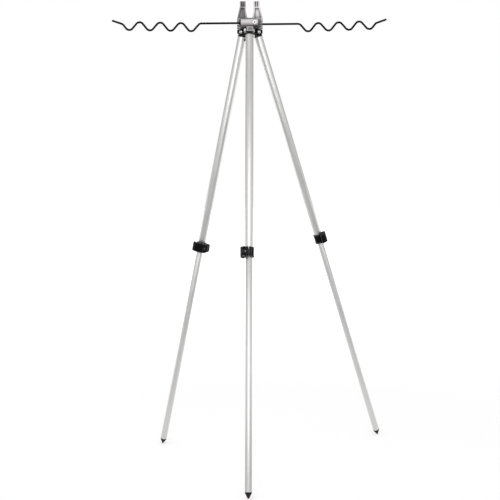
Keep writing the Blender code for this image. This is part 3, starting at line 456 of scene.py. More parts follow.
@dataclass(frozen=True)
class BlackFinish:
    """Black moulded plastic: a fine spark grain, and a painted highlight that turns its edges light grey in
    patches.
    """

    slot: Slot = Slot.BLACK_PLASTIC
    tones: Tones = ((0.0015, 0.0015, 0.0017), (0.0035, 0.0035, 0.0038))
    # Painted highlight: the light grey that the edges are blended to.
    edge_highlight: Colour = (0.2, 0.195, 0.2)
    roughness: Pair = (0.32, 0.46)
    specular: float = 0.1
    cloud: Grain = Grain(90.0, 4.0, warp=0.8)
    # Noise that breaks the painted edge highlight into patches.
    highlight_patches: Grain = Grain(240.0)
    least_highlight: float = 0.3
    edge_radius: float = 0.0016
    cells_per_metre: float = 2600.0
    cloud_share: float = 0.5
    relief: Relief = Relief(0.00005, 0.45)

    def make(self) -> bpy.types.Material:
        """Make the finish.

        Returns:
            Its material.
        """
        recipe = Recipe(self.slot.value)
        cloud, highlight_patches = recipe.noise(self.cloud), recipe.noise(self.highlight_patches)
        tone = recipe.blend(recipe.span(cloud, 0.0, 1.0), *self.tones)
        # Painted highlight: the edges turn light grey, in patches set by noise.
        patchiness = recipe.span(highlight_patches, self.least_highlight, 1.0)
        rubbing_and_sheen = recipe.combined("MULTIPLY", recipe.turns(self.edge_radius), patchiness)
        cells = recipe.speckle(self.cells_per_metre)
        recipe.emboss(recipe.combined("ADD", cells, recipe.span(cloud, 0.0, self.cloud_share)), self.relief)
        recipe.feed(
            Base_Color=recipe.blend(rubbing_and_sheen, tone, self.edge_highlight),
            Roughness=recipe.span(cloud, *self.roughness),
            Specular_IOR_Level=self.specular,
        )
        return recipe.material


@dataclass(frozen=True)
class WireFinish:
    """Black dipped coating on the bent wires: soft gloss, faint rings and runs."""

    slot: Slot = Slot.COATED_WIRE
    tones: Tones = ((0.003, 0.003, 0.0035), (0.009, 0.009, 0.0095))
    roughness: Pair = (0.24, 0.4)
    specular: float = 0.06
    cloud: Grain = Grain(150.0, warp=0.6)
    rings_per_metre: float = 700.0
    ring_share: float = 0.5
    relief: Relief = Relief(0.00003, 0.3)

    def make(self) -> bpy.types.Material:
        """Make the finish.

        Returns:
            Its material; the mesh holds how far along the wire each point is.
        """
        recipe = Recipe(self.slot.value)
        run = recipe.add("Attribute")
        run.attribute_name = WireShape.RUN
        turn = recipe.combined("MULTIPLY", run.outputs["Fac"], self.rings_per_metre * 2 * math.pi)
        rings = recipe.span(recipe.combined("SINE", turn, 0.0), 0.0, self.ring_share, WAVE_SPREAD)
        cloud = recipe.noise(self.cloud)
        recipe.emboss(recipe.combined("ADD", rings, cloud), self.relief)
        recipe.feed(
            Base_Color=recipe.blend(recipe.span(cloud, 0.0, 1.0), *self.tones),
            Roughness=recipe.span(cloud, *self.roughness),
            Specular_IOR_Level=self.specular,
        )
        return recipe.material


@dataclass(frozen=True)
class MetalFinish:
    """Bolts, nuts, castings and inserts: a metal with clouded colour, a fine surface and painted shade in
    its hollows.
    """

    slot: Slot
    tones: Tones
    roughness: Pair
    fine: Grain = Grain(2200.0)
    relief: Relief = Relief(0.00001, 0.5)
    metallic: float = 1.0
    cloud: Grain = Grain(260.0, warp=0.8)
    cloud_drift: Pair = (-0.15, 0.15)
    # Painted shade: the dark colour that hollows and, where edge_radius is set, edges are blended to.
    painted_shade: Colour = (0.012, 0.012, 0.013)
    painted_shade_reach: float = 0.006
    painted_shade_width: Pair = (0.3, 0.6)
    # Painted shade: where set, the tone darkens towards the bottom, between these heights.
    painted_shade_below: Pair | None = None
    edge_radius: float = 0.0

    def make(self) -> bpy.types.Material:
        """Make the finish.

        Returns:
            Its material.
        """
        recipe = Recipe(self.slot.value)
        cloud = recipe.noise(self.cloud)
        tone = recipe.span(cloud, 0.0, 1.0)
        # Painted shade: darker towards the bottom.
        if self.painted_shade_below:
            height = recipe.across("Z", *self.painted_shade_below)
            tone = recipe.combined("ADD", recipe.span(cloud, *self.cloud_drift), height)
        tone = recipe.blend(tone, *self.tones)
        # Painted shade along the edges.
        if self.edge_radius:
            tone = recipe.blend(recipe.edges(self.edge_radius), tone, self.painted_shade)
        recipe.emboss(recipe.noise(self.fine), self.relief)
        # Painted shade in hollows.
        recipe.feed(
            Base_Color=recipe.blend(recipe.hollows(self.painted_shade_reach, self.painted_shade_width), self.painted_shade, tone),
            Roughness=recipe.span(cloud, *self.roughness),
            Metallic=self.metallic,
        )
        return recipe.material


FINISHES = (
    TubeFinish(),
    HeadFinish(),
    BlackFinish(),
    WireFinish(),
    MetalFinish(
        slot=Slot.ZINC_STEEL,
        tones=((0.6, 0.6, 0.615), (0.74, 0.74, 0.74)),
        roughness=(0.22, 0.34),
    ),
    MetalFinish(
        slot=Slot.BLACKENED_STEEL,
        tones=((0.02, 0.02, 0.022), (0.05, 0.05, 0.052)),
        roughness=(0.28, 0.42),
    ),
    MetalFinish(
        slot=Slot.CAST_METAL,
        tones=((0.22, 0.206, 0.211), (0.52, 0.498, 0.51)),
        roughness=(0.38, 0.5),
        fine=Grain(3200.0),
        relief=Relief(0.00005, 0.5),
        metallic=0.8,
        # Painted shade in hollows, along the edges and towards the bottom.
        painted_shade_reach=0.003,
        painted_shade_width=(0.3, 0.9),
        painted_shade_below=(0.9488, 0.9528),
        edge_radius=0.0026,
    ),
    MetalFinish(
        slot=Slot.BRASS,
        tones=((0.62, 0.43, 0.17), (0.78, 0.57, 0.26)),
        roughness=(0.24, 0.38),
        fine=Grain(2400.0),
        relief=Relief(0.00002, 0.5),
    ),
)


class Wardrobe:
    """The finishes as materials, each made once."""

    def __init__(self) -> None:
        """Make every finish."""
        self.materials = {finish.slot: finish.make() for finish in FINISHES}

    def dress(self, piece: bpy.types.Object, slot: Slot) -> None:
        """Give a new piece its finish and name its slot.

        Args:
            piece: the piece.
            slot: the finish.
        """
        piece.data.materials.clear()
        piece.data.materials.append(self.materials[slot])

    def dress_node(self, node: bpy.types.Object, slot: Slot) -> None:
        """Give a CAD node that stays its finish."""
        for material_slot in node.material_slots:
            material_slot.material = self.materials[slot]


# Shapes


def arc(centre: Pair, radius: float, start: float, end: float, steps: int) -> list[Pair]:
    """Points on an arc, its angles in degrees and both ends included."""
    angles = [math.radians(start + (end - start) * n / steps) for n in range(steps + 1)]
    return [(centre[0] + radius * math.cos(a), centre[1] + radius * math.sin(a)) for a in angles]


def softened(profile: list[Pair], radius: float, steps: int = 2) -> list[Pair]:
    """A profile with its corners rounded, except its two ends.

    Args:
        profile: the corners.
        radius: the largest radius that a corner gets.
        steps: pieces in each round.
    Returns:
        The rounded profile.
    """
    points = [profile[0]]
    for before, here, after in zip(profile, profile[1:], profile[2:]):
        middle = Vector(here)
        back, ahead = Vector(before) - middle, Vector(after) - middle
        half = back.angle(ahead) / 2
        reach = min(radius / math.tan(half), CORNER_SHARE * back.length, CORNER_SHARE * ahead.length)
        first, last = middle + back.normalized() * reach, middle + ahead.normalized() * reach
        for n in range(steps + 1):
            t = n / steps
            points.append(tuple(first * (1 - t) ** 2 + middle * 2 * t * (1 - t) + last * t**2))
    points.append(profile[-1])
    return points


def rod(radius: float, low: float, high: float) -> list[Pair]:
    """The profile of a plain rod."""
    return [(0.0, high), (radius, high), (radius, low), (0.0, low)]


def ring(inner: float, outer: float, low: float, high: float) -> list[Pair]:
    """The closed profile of a tube or a washer, from the middle of its upper end round to there."""
    middle = (inner + outer) / 2
    return [(middle, high), (outer, high), (outer, low), (inner, low), (inner, high), (middle * SEAM, high)]


def bolt(head_radius: float, head_end: float, seat: float, radius: float, end: float) -> list[Pair]:
    """The profile of a bolt: its head from head_end to the seat, and its shank from there to its end."""
    head = [(0.0, head_end), (head_radius, head_end), (head_radius, seat)]
    return [*head, (radius, seat), (radius, end), (0.0, end)]


def domed(radius: float, height: float, base: float, steps: int = 8) -> list[Pair]:
    """The profile of a domed head: from its top on the axis down to its rim at the base.

    Args:
        radius: the rim's radius.
        height: the head's height.
        base: the height that the head stands on.
        steps: pieces along the dome.
    Returns:
        The profile.
    """
    edge = height * DOME_EDGE
    chamfer, rim = edge * DOME_CHAMFER, base + edge * DOME_RIM
    angles = [math.pi / 2 * n / steps for n in range(steps + 1)]
    dome = [(radius * math.sin(a), base + edge + (height - edge) * math.cos(a)) for a in angles]
    return [*dome, (radius, rim), (radius - chamfer, base)]


def lathe(profile: list[Pair], steps: int) -> bmesh.types.BMesh:
    """A (radius, height) profile turned about Z.

    Args:
        profile: it starts and ends on the axis, or else is a closed loop.
        steps: sides of the turned shape.
    Returns:
        The closed shape.
    """
    bm = bmesh.new()
    points = [bm.verts.new((radius, 0, height)) for radius, height in profile]
    edges = [bm.edges.new(pair) for pair in zip(points, points[1:])]
    if profile[0][0] > 0:
        edges.append(bm.edges.new((points[-1], points[0])))
    about = {"cent": (0, 0, 0), "axis": (0, 0, 1), "angle": 2 * math.pi}
    bmesh.ops.spin(bm, geom=points + edges, steps=steps, use_merge=True, **about)
    bmesh.ops.remove_doubles(bm, verts=bm.verts, dist=SAME_PLACE)
    bmesh.ops.recalc_face_normals(bm, faces=bm.faces)
    return bm


def prism(outline: list[Pair], low: float, high: float) -> bmesh.types.BMesh:
    """A closed outline run from low to high along Z.

    Args:
        outline: its corners.
        low: where it starts.
        high: where it ends.
    Returns:
        The closed shape.
    """
    bm = bmesh.new()
    face = bm.faces.new([bm.verts.new((x, y, low)) for x, y in outline])
    run = bmesh.ops.extrude_face_region(bm, geom=[face])
    far = [part for part in run["geom"] if isinstance(part, bmesh.types.BMVert)]
    bmesh.ops.translate(bm, verts=far, vec=(0, 0, high - low))
    bmesh.ops.recalc_face_normals(bm, faces=bm.faces)
    return bm


def shade(mesh: bpy.types.Mesh, angle: float = math.radians(SMOOTH_ANGLE)) -> None:
    """Shade a mesh smooth, but for the edges sharper than this angle."""
    mesh.shade_smooth()
    mesh.set_sharp_from_angle(angle=angle)


def made(name: str, bm: bmesh.types.BMesh, axes: Matrix | None = None) -> bpy.types.Object:
    """A piece from a bmesh.

    Args:
        name: the piece's name.
        bm: its shape.
        axes: where it is put.
    Returns:
        The piece.
    """
    mesh = bpy.data.meshes.new(name)
    bm.to_mesh(mesh)
    bm.free()
    shade(mesh)
    piece = bpy.data.objects.new(name, mesh)
    bpy.context.scene.collection.objects.link(piece)
    if axes:
        piece.matrix_world = axes
    return piece


def turned(node: str, profile: list[Pair], sides: int, axes: Matrix) -> bpy.types.Object:
    """A turned piece that stands for a CAD node, its (radius, height) profile about Z in these axes."""
    return made(f"{node}_fine", lathe(profile, sides), axes)


def settle(piece: bpy.types.Object) -> None:
    """Work a piece's modifiers into its mesh.

    Args:
        piece: the piece.
    """
    graph = bpy.context.evaluated_depsgraph_get()
    mesh = bpy.data.meshes.new_from_object(piece.evaluated_get(graph), depsgraph=graph)
    mesh.name = piece.name
    piece.modifiers.clear()
    piece.data = mesh


def carve(piece: bpy.types.Object, cutter: bmesh.types.BMesh) -> None:
    """Cut a shape out of a piece.

    Args:
        piece: the piece.
        cutter: the shape, in the piece's own axes.
    """
    tool = made(f"{piece.name}_tool", cutter, piece.matrix_world.copy())
    cut = piece.modifiers.new("cut", "BOOLEAN")
    cut.operation, cut.solver, cut.object = "DIFFERENCE", "EXACT", tool
    bpy.context.view_layer.update()
    settle(piece)
    bpy.data.objects.remove(tool)
    shade(piece.data)


def carve_socket(piece: bpy.types.Object, radius: float, low: float, high: float) -> None:
    """Cut a hexagonal recess, of this radius to its corners, between two heights."""
    carve(piece, prism(arc((0.0, 0.0), radius, *HEXAGON), low, high))


def refined(node: bpy.types.Object, width: float) -> bpy.types.Object:
    """A finer copy of a CAD node: its triangles joined into whole faces and its edges rounded.

    Args:
        node: the CAD node.
        width: how far the rounds reach.
    Returns:
        The piece.
    """
    bm = bmesh.new()
    bm.from_mesh(node.data)
    bmesh.ops.remove_doubles(bm, verts=bm.verts, dist=SAME_CAD_PLACE)
    bmesh.ops.dissolve_limit(bm, angle_limit=math.radians(FLAT_ANGLE), verts=bm.verts, edges=bm.edges)
    piece = made(f"{node.name}_fine", bm)
    piece.data.set_sharp_from_angle(angle=math.pi)
    bevel = piece.modifiers.new("ease", "BEVEL")
    bevel.width, bevel.segments = width, ROUND_FACES
    bevel.limit_method, bevel.angle_limit = "ANGLE", math.radians(ROUNDED_ANGLE)
    bevel.use_clamp_overlap, bevel.harden_normals = True, False
    piece.modifiers.new("normals", "WEIGHTED_NORMAL").keep_sharp = True
    settle(piece)
    return piece


def axes_on(place: Vector, along: Vector) -> Matrix:
    """Axes at a place with Z along a direction."""
    return Matrix.Translation(place) @ along.to_track_quat("Z", "Y").to_matrix().to_4x4()


def points_in(node: bpy.types.Object, axes: Matrix) -> list[Vector]:
    """A CAD node's points, measured in these axes."""
    inverse = axes.inverted()
    return [inverse @ vertex.co for vertex in node.data.vertices]


def span_in(node: bpy.types.Object, axes: Matrix) -> tuple[Vector, Vector]:
    """The lowest and highest corner of a CAD node, measured in these axes."""
    points = points_in(node, axes)
    return Vector(map(min, *points)), Vector(map(max, *points))


def centre_of(points: list[Vector]) -> Vector:
    """The middle of some points."""
    return sum(points, Vector()) / len(points)


# Sub-assemblies


@dataclass
class Workshop:
    """What every sub-assembly builds with: the CAD nodes, the joints and the finishes."""

    nodes: dict[str, bpy.types.Object]
    joints: dict[str, dict]
    wardrobe: Wardrobe

    def place(self, piece: bpy.types.Object, body: str, node: str, slot: Slot) -> None:
        """Put a finished piece on its body in place of its CAD node.

        Args:
            piece: the piece.
            body: the CAD body that it moves with.
            node: the CAD node that it stands for.
            slot: its finish.
        """
        self.wardrobe.dress(piece, slot)
        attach(piece, body)
        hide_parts(node)
        log.info("%s rides on %s, %d faces", piece.name, body, len(piece.data.polygons))

    def keep(self, node: str, slot: Slot) -> None:
        """Keep a CAD node and give it its finish."""
        self.wardrobe.dress_node(self.nodes[node], slot)
        log.info("%s stays as packed", node)

    def refine(self, node: str, body: str, slot: Slot, width: float) -> None:
        """Put a finer copy of a CAD node, its edges rounded by this width, in its place."""
        self.place(refined(self.nodes[node], width), body, node, slot)


@dataclass
class Head:
    """The fork on its hub, the hub's screw, and the pivot bolts with their nuts."""

    shop: Workshop
    fork_ease: float = 0.0005
    hub_ease: float = 0.0005
    nut_ease: float = 0.0003
    screw_radius: float = 0.002
    screw_head_radius: float = 0.0038
    screw_head_height: float = 0.0024
    screw_ease: float = 0.0003
    screw_point: float = 0.0012
    socket_radius: float = 0.0015
    socket_depth: float = 0.00144
    rim_radius: float = 0.00228
    rim_height: float = 0.00096
    bolt_radius: float = 0.0024
    bolt_head_radius: float = 0.0041
    bolt_head_height: float = 0.003
    bolt_ease: float = 0.0004
    dome_steps: int = 10
    sides: int = 48

    def build(self) -> None:
        """Build and dress the head's pieces."""
        self.shop.refine("head_fork", "head", Slot.GREY_PLASTIC, self.fork_ease)
        self.shop.refine("hub_spider", "head", Slot.BLACK_PLASTIC, self.hub_ease)
        self.add_hub_screw()
        for side in Side:
            self.add_pivot_bolt(side)
            self.shop.refine(f"pivot_nut_{side.value}", "head", Slot.ZINC_STEEL, self.nut_ease)

    def add_hub_screw(self) -> None:
        """The screw under the hub: a countersunk head with a hexagonal recess, and a chamfered point."""
        low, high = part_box("hub_screw")
        top = high.z - low.z
        radius, head, height = self.screw_radius, self.screw_head_radius, self.screw_head_height
        point = [(0.0, top), (self.screw_point, top), (radius, top - radius), (radius, height)]
        under = [(head, height), (head, self.rim_height), (self.rim_radius, 0.0), (0.0, 0.0)]
        axes = Matrix.Translation(((low.x + high.x) / 2, (low.y + high.y) / 2, low.z))
        screw = turned("hub_screw", softened(point + under, self.screw_ease), self.sides, axes)
        carve_socket(screw, self.socket_radius, -height, self.socket_depth)
        self.shop.place(screw, "head", "hub_screw", Slot.ZINC_STEEL)

    def add_pivot_bolt(self, side: Side) -> None:
        """The domed bolt through one clevis, measured along its own axis.

        Args:
            side: the leg's side.
        """
        node = f"pivot_bolt_{side.value}"
        joint = self.shop.joints[f"leg_spread_{side.value}"]
        pivot, along = Vector(joint["pos_m"]), Vector(joint["axis"]).normalized()
        axes = axes_on(pivot, along)
        if self.head_at_low_end(points_in(self.shop.nodes[node], axes)):
            axes = axes_on(pivot, -along)
        low, high = span_in(self.shop.nodes[node], axes)
        seat = high.z - self.bolt_head_height
        head = domed(self.bolt_head_radius, self.bolt_head_height, seat, self.dome_steps)
        shank = [head[-1], (self.bolt_radius, seat), (self.bolt_radius, low.z), (0.0, low.z)]
        profile = head + softened(shank, self.bolt_ease)[1:]
        self.shop.place(turned(node, profile, self.sides, axes), "head", node, Slot.ZINC_STEEL)

    def head_at_low_end(self, points: list[Vector]) -> bool:
        """Whether a bolt's head is at its lower end.

        Args:
            points: the bolt's points, in its axes.
        Returns:
            Whether points there are wider apart than its shank.
        """
        seat = min(point.z for point in points) + self.bolt_head_height
        wide = (self.bolt_radius + self.bolt_head_radius) / 2
        return any(point.z < seat and point.xy.length > wide for point in points)


class Move(Enum):
    """What the wire's middle line does next."""

    RUN = "straight on"
    TURN = "by an angle"
    AIM = "to an angle"


@dataclass(frozen=True)
class WireShape:
    """The middle line of one rod-rest wire and the tube bent along it."""

    RUN = "run"
    diameter: float = 0.0044
    start: float = -0.0105
    drop: float = 0.0012
    shank: float = 0.1037
    pitch: float = 0.0442
    depth: float = 0.0166
    rests: int = 4
    rise: float = 1.6
    flank: float = 50.0
    tip_flank: float = 0.0088
    tip_rise: float = 19.0
    tip_length: float = 0.022
    tip_rings: int = 5
    tip_share: float = 0.9
    tip_flat: float = 0.4
    run_step: float = 0.004
    least_run_steps: int = 2
    bend_steps: int = 12
    least_bend_steps: int = 4
    sides: int = 20

    def bend_radius(self) -> float:
        """Work out the bends.

        Returns:
            The bend radius that gives the wave its pitch and depth.
        """
        flank = math.radians(self.flank)
        across = self.pitch / 2 * math.sin(flank) - self.depth * math.cos(flank)
        return across / (2 * (1 - math.cos(flank)))

    def path(self) -> list[Vector]:
        """Lay the wire's middle line.

        Returns:
            Its points, from the wire's end in the block outward, in the XZ plane, towards -X.
        """
        radius, flank, rise = self.bend_radius(), math.radians(self.flank), math.radians(self.rise)
        straight = (self.depth - 2 * radius * (1 - math.cos(flank))) / math.sin(flank)
        point, heading = Vector((self.start, -self.drop)), 0.0
        points = [point.copy()]
        moves = [(Move.RUN, self.shank), (Move.TURN, rise - flank), (Move.RUN, straight)]
        for _ in range(self.rests - 1):
            moves += [(Move.TURN, 2 * flank), (Move.RUN, straight)]
            moves += [(Move.TURN, -2 * flank), (Move.RUN, straight)]
        moves += [(Move.TURN, 2 * flank), (Move.RUN, self.tip_flank)]
        moves += [(Move.AIM, math.radians(self.tip_rise)), (Move.RUN, self.tip_length)]
        for move, amount in moves:
            if move is Move.RUN:
                pieces = max(self.least_run_steps, round(amount / self.run_step))
                steps = [(0.0, amount / pieces)] * pieces
            else:
                angle = amount - heading if move is Move.AIM else amount
                pieces = max(self.least_bend_steps, round(self.bend_steps * abs(angle) / flank))
                chord = 2 * radius * math.sin(abs(angle) / pieces / 2)
                steps = [(angle / pieces, chord)] * pieces
            for turn, length in steps:
                heading += turn / 2
                point = point + Vector((-math.cos(heading), math.sin(heading))) * length
                heading += turn / 2
                points.append(point.copy())
        return points

    def stations(self) -> list[tuple[Vector, float]]:
        """Size the wire along its middle line, out to a rounded tip.

        Returns:
            Places along the wire, each with the wire's radius there.
        """
        path, radius = self.path(), self.diameter / 2
        last = (path[-1] - path[-2]).normalized()
        reach = radius * self.tip_share
        base = path[-1] - last * reach
        stations = [(point, radius) for point in path[:-1]]
        while (stations[-1][0] - base).dot(last) >= 0:
            stations.pop()
        for n in range(self.tip_rings + 1):
            a = math.pi / 2 * n / (self.tip_rings + self.tip_flat)
            stations.append((base + last * reach * math.sin(a), radius * math.cos(a)))
        return stations

    def build(self, name: str, axes: Matrix) -> bpy.types.Object:
        """The wire as a round tube, its mesh holding how far along the wire each point is.

        Args:
            name: the piece's name.
            axes: the arm's axes.
        Returns:
            The wire.
        """
        stations = self.stations()
        bm = bmesh.new()
        runs: list[float] = []
        rings: list[list[bmesh.types.BMVert]] = []
        gone = 0.0
        for n, (point, size) in enumerate(stations):
            before, after = stations[max(n - 1, 0)][0], stations[min(n + 1, len(stations) - 1)][0]
            along = (after - before).normalized()
            gone += (point - before).length
            rings.append([])
            for k in range(self.sides):
                turn = 2 * math.pi * k / self.sides
                off, side = size * math.cos(turn), size * math.sin(turn)
                rings[-1].append(bm.verts.new((point.x - along.y * off, side, point.y + along.x * off)))
                runs.append(gone)
        for near, far in zip(rings, rings[1:]):
            for k in range(self.sides):
                m = (k + 1) % self.sides
                bm.faces.new((near[k], near[m], far[m], far[k]))
        bm.faces.new(rings[0])
        bm.faces.new(list(reversed(rings[-1])))
        bmesh.ops.recalc_face_normals(bm, faces=bm.faces)
        wire = made(name, bm, axes)
        wire.data.attributes.new(self.RUN, "FLOAT", "POINT").data.foreach_set("value", runs)
        return wire


@dataclass
class Arm:
    """One fold-up arm: its block, wire, bolt, washer and threaded insert."""

    shop: Workshop
    side: Side
    turn: Matrix
    block_ease: float = 0.0006
    bolt_radius: float = 0.0023
    head_radius: float = 0.0034
    head_height: float = 0.0024
    head_ease: float = 0.0006
    head_steps: int = 4
    socket_width: float = 0.0038
    socket_share: float = 0.4
    washer_radius: float = 0.0045
    washer_bore: float = 0.0026
    washer_ease: float = 0.0002
    sides: int = 48
    wire: WireShape = field(default_factory=WireShape)

    @property
    def axes(self) -> Matrix:
        """The arm's axes, its origin on the bolt."""
        return Matrix.Translation(self.shop.joints[f"arm_fold_{self.side.value}"]["pos_m"]) @ self.turn

    def build(self) -> None:
        """Build and dress the arm's pieces."""
        side = self.side.value
        body, node = f"arm_{side}", f"arm_wire_{side}"
        self.shop.refine(f"arm_block_{side}", body, Slot.CAST_METAL, self.block_ease)
        self.shop.place(self.wire.build(f"{node}_fine", self.axes), body, node, Slot.COATED_WIRE)
        self.add_bolt()
        self.add_washer()
        self.shop.keep(f"arm_insert_{side}", Slot.BRASS)

    def add_bolt(self) -> None:
        """The shoulder bolt, with a hexagonal recess in its head."""
        node, axes = f"arm_bolt_{self.side.value}", self.axes @ FROM_FRONT
        low, high = span_in(self.shop.nodes[node], axes)
        seat = high.z - self.head_height
        profile = bolt(self.head_radius, high.z, seat, self.bolt_radius, low.z)
        profile = softened(profile, self.head_ease, self.head_steps)
        piece = turned(node, profile, self.sides, axes)
        carve_socket(piece, self.socket_width / 2, seat - self.head_height * self.socket_share, 2 * high.z)
        self.shop.place(piece, "head", node, Slot.ZINC_STEEL)

    def add_washer(self) -> None:
        """The plain washer under the bolt's head."""
        node, axes = f"arm_washer_{self.side.value}", self.axes @ FROM_FRONT
        low, high = span_in(self.shop.nodes[node], axes)
        profile = softened(ring(self.washer_bore, self.washer_radius, low.z, high.z), self.washer_ease)
        self.shop.place(turned(node, profile, self.sides, axes), "head", node, Slot.ZINC_STEEL)


@dataclass
class Clamp:
    """One flip-lever clamp: a split collar, its screw, the lever and the pin that it turns on."""

    shop: Workshop
    side: Side
    collar_ease: float = 0.0004
    lever_ease: float = 0.0005
    pin_ease: float = 0.0003
    screw_radius: float = 0.0016
    head_radius: float = 0.0024
    head_height: float = 0.0018
    screw_ease: float = 0.0003
    socket_radius: float = 0.0012
    socket_share: float = 0.6
    sides: int = 32

    def build(self) -> None:
        """Build and dress the clamp's pieces."""
        side = self.side.value
        leg = f"leg_{side}"
        self.shop.refine(f"clamp_collar_{side}", leg, Slot.BLACK_PLASTIC, self.collar_ease)
        self.shop.refine(f"clamp_lever_{side}", f"lever_{side}", Slot.BLACK_PLASTIC, self.lever_ease)
        self.shop.refine(f"lever_pin_{side}", leg, Slot.BLACKENED_STEEL, self.pin_ease)
        self.add_screw()

    def add_screw(self) -> None:
        """The clamp screw, its head sunk in the ear, with a hexagonal recess."""
        node = f"clamp_screw_{self.side.value}"
        pin = Vector(self.shop.joints[f"lever_flip_{self.side.value}"]["pos_m"])
        axes = self.axes_from_head([vertex.co for vertex in self.shop.nodes[node].data.vertices], pin)
        low, high = span_in(self.shop.nodes[node], axes)
        profile = bolt(self.head_radius, low.z, low.z + self.head_height, self.screw_radius, high.z)
        screw = turned(node, softened(profile, self.screw_ease), self.sides, axes)
        depth = self.head_height * self.socket_share
        carve_socket(screw, self.socket_radius, low.z - self.head_height, low.z + depth)
        self.shop.place(screw, f"leg_{self.side.value}", node, Slot.ZINC_STEEL)

    def axes_from_head(self, points: list[Vector], pin: Vector) -> Matrix:
        """Axes along the screw, from its head towards the lever's pin.

        Args:
            points: the screw's points.
            pin: the pin's place.
        Returns:
            The axes.
        """
        middle = centre_of(points)
        head = centre_of([point for point in points if (point - pin).length > (middle - pin).length])
        return axes_on(head, (middle - head).normalized())


@dataclass
class Leg:
    """One leg: cap, rivet, upper tube, clamp, and the lower tube with its slide bush and foot."""

    shop: Workshop
    side: Side
    cap_ease: float = 0.0004
    upper_wall: float = 0.0008
    lower_wall: float = 0.001
    tube_sides: int = 72
    lip: float = 0.00025
    rivet_radius: float = 0.0015
    rivet_head_radius: float = 0.0026
    rivet_head_height: float = 0.0011
    rivet_gap: float = 0.0003
    rivet_reach: float = 0.03
    rivet_sides: int = 32
    foot_height: float = 0.012
    foot_band: float = 0.0014
    foot_tip_radius: float = 0.002
    foot_overhang: float = 0.0003
    foot_ease: float = 0.0002
    foot_sides: int = 48
    plug_gap: float = 0.0003
    plug_chamfer: float = 0.0005
    ball_end: float = -82.0
    ball_steps: int = 7
    groove_depth: float = 0.0004
    grooves: tuple[float, ...] = (0.16, 0.34, 0.52)
    groove_profile: tuple[Pair, ...] = ((0.0, 0.0), (0.03, 1.0), (0.07, 1.0), (0.1, 0.0))

    @property
    def axes(self) -> Matrix:
        """Where the leg stands.

        Returns:
            Its axes: the origin on the pivot, X outward, Y along the pivot bolt and Z up the leg.
        """
        up = -Vector(self.shop.joints[f"leg_slide_{self.side.value}"]["axis"]).normalized()
        out = Vector((-up.x, -up.y, 0.0)).normalized()
        across = Vector((-out.y, out.x, 0.0))
        turn = Matrix((across.cross(up), across, up)).transposed().to_4x4()
        return Matrix.Translation(self.shop.joints[f"leg_spread_{self.side.value}"]["pos_m"]) @ turn

    def build(self) -> None:
        """Build and dress the leg's pieces."""
        side = self.side.value
        upper, lower = f"leg_{side}", f"lower_{side}"
        self.shop.refine(f"leg_cap_{side}", upper, Slot.BLACK_PLASTIC, self.cap_ease)
        rivet = self.rivet_axes()
        tube = self.tube(f"upper_tube_{side}", self.upper_wall)
        hole = lathe(rod(self.rivet_radius + self.rivet_gap, 0.0, self.rivet_reach), self.rivet_sides)
        bmesh.ops.transform(hole, matrix=self.axes.inverted() @ rivet, verts=hole.verts)
        carve(tube, hole)
        self.shop.place(tube, upper, f"upper_tube_{side}", Slot.SATIN_ALUMINIUM)
        self.add_rivet(rivet, upper)
        Clamp(self.shop, self.side).build()
        tube = self.tube(f"lower_tube_{side}", self.lower_wall)
        self.shop.place(tube, lower, f"lower_tube_{side}", Slot.SATIN_ALUMINIUM)
        self.shop.keep(f"slide_bush_{side}", Slot.BLACK_PLASTIC)
        self.add_foot(lower)

    def tube(self, node: str, wall: float) -> bpy.types.Object:
        """One leg tube with eased ends, measured from its CAD node.

        Args:
            node: the CAD node.
            wall: the tube's wall.
        Returns:
            The tube, in the leg's axes.
        """
        low, high = span_in(self.shop.nodes[node], self.axes)
        outer = (high.x - low.x) / 2
        profile = softened(ring(outer - wall, outer, low.z, high.z), self.lip)
        return turned(node, profile, self.tube_sides, self.axes)

    def rivet_axes(self) -> Matrix:
        """Where the rivet sits.

        Returns:
            Axes along it, from the tube's middle outward.
        """
        low, high = span_in(self.shop.nodes[f"cap_rivet_{self.side.value}"], self.axes)
        centre = (low + high) / 2
        level = Vector((0.0, 0.0, centre.z))
        return axes_on(self.axes @ level, self.axes.to_3x3() @ (centre - level).normalized())

    def add_rivet(self, axes: Matrix, body: str) -> None:
        """The domed rivet that holds the tube on its cap.

        Args:
            axes: the rivet's axes.
            body: the body that it moves with.
        """
        node = f"cap_rivet_{self.side.value}"
        low, high = span_in(self.shop.nodes[node], axes)
        seat = high.z - self.rivet_head_height
        head = domed(self.rivet_head_radius, self.rivet_head_height, seat)
        profile = head + rod(self.rivet_radius, low.z, seat)[1:]
        rivet = turned(node, profile, self.rivet_sides, axes)
        self.shop.place(rivet, body, node, Slot.BLACKENED_STEEL)

    def add_foot(self, body: str) -> None:
        """The conical foot: a plug in the tube, a band, grooves round its cone and a round point.

        Args:
            body: the body that it moves with.
        """
        node = f"foot_tip_{self.side.value}"
        low, high = span_in(self.shop.nodes[node], self.axes)
        base, tip = (high.x - low.x) / 2, self.foot_tip_radius
        top, centre = low.z + self.foot_height, low.z + tip
        plug = base - self.foot_overhang - self.lower_wall - self.plug_gap
        start = Vector((base, top - self.foot_band))
        slope = math.atan2(base - tip, start.y - centre)
        end = Vector((tip * math.cos(slope), centre - tip * math.sin(slope)))
        cone = []
        for share in self.grooves:
            for step, depth in self.groove_profile:
                point = start.lerp(end, share + step)
                cone.append((point.x - self.groove_depth * depth, point.y))
        ball = arc((0.0, centre), tip, -math.degrees(slope), self.ball_end, self.ball_steps)
        profile = [(0.0, high.z), (plug - self.plug_chamfer, high.z), (plug, high.z - self.plug_chamfer)]
        profile += [(plug, top), (base, top), tuple(start), *cone, *ball, (0.0, low.z)]
        foot = lathe(softened(profile, self.foot_ease), self.foot_sides)
        # Its mesh is turned, not the piece, so that the box round the piece ends at the floor.
        bmesh.ops.transform(foot, matrix=self.axes, verts=foot.verts)
        self.shop.place(made(f"{node}_fine", foot), body, node, Slot.BLACK_PLASTIC)


# Studio


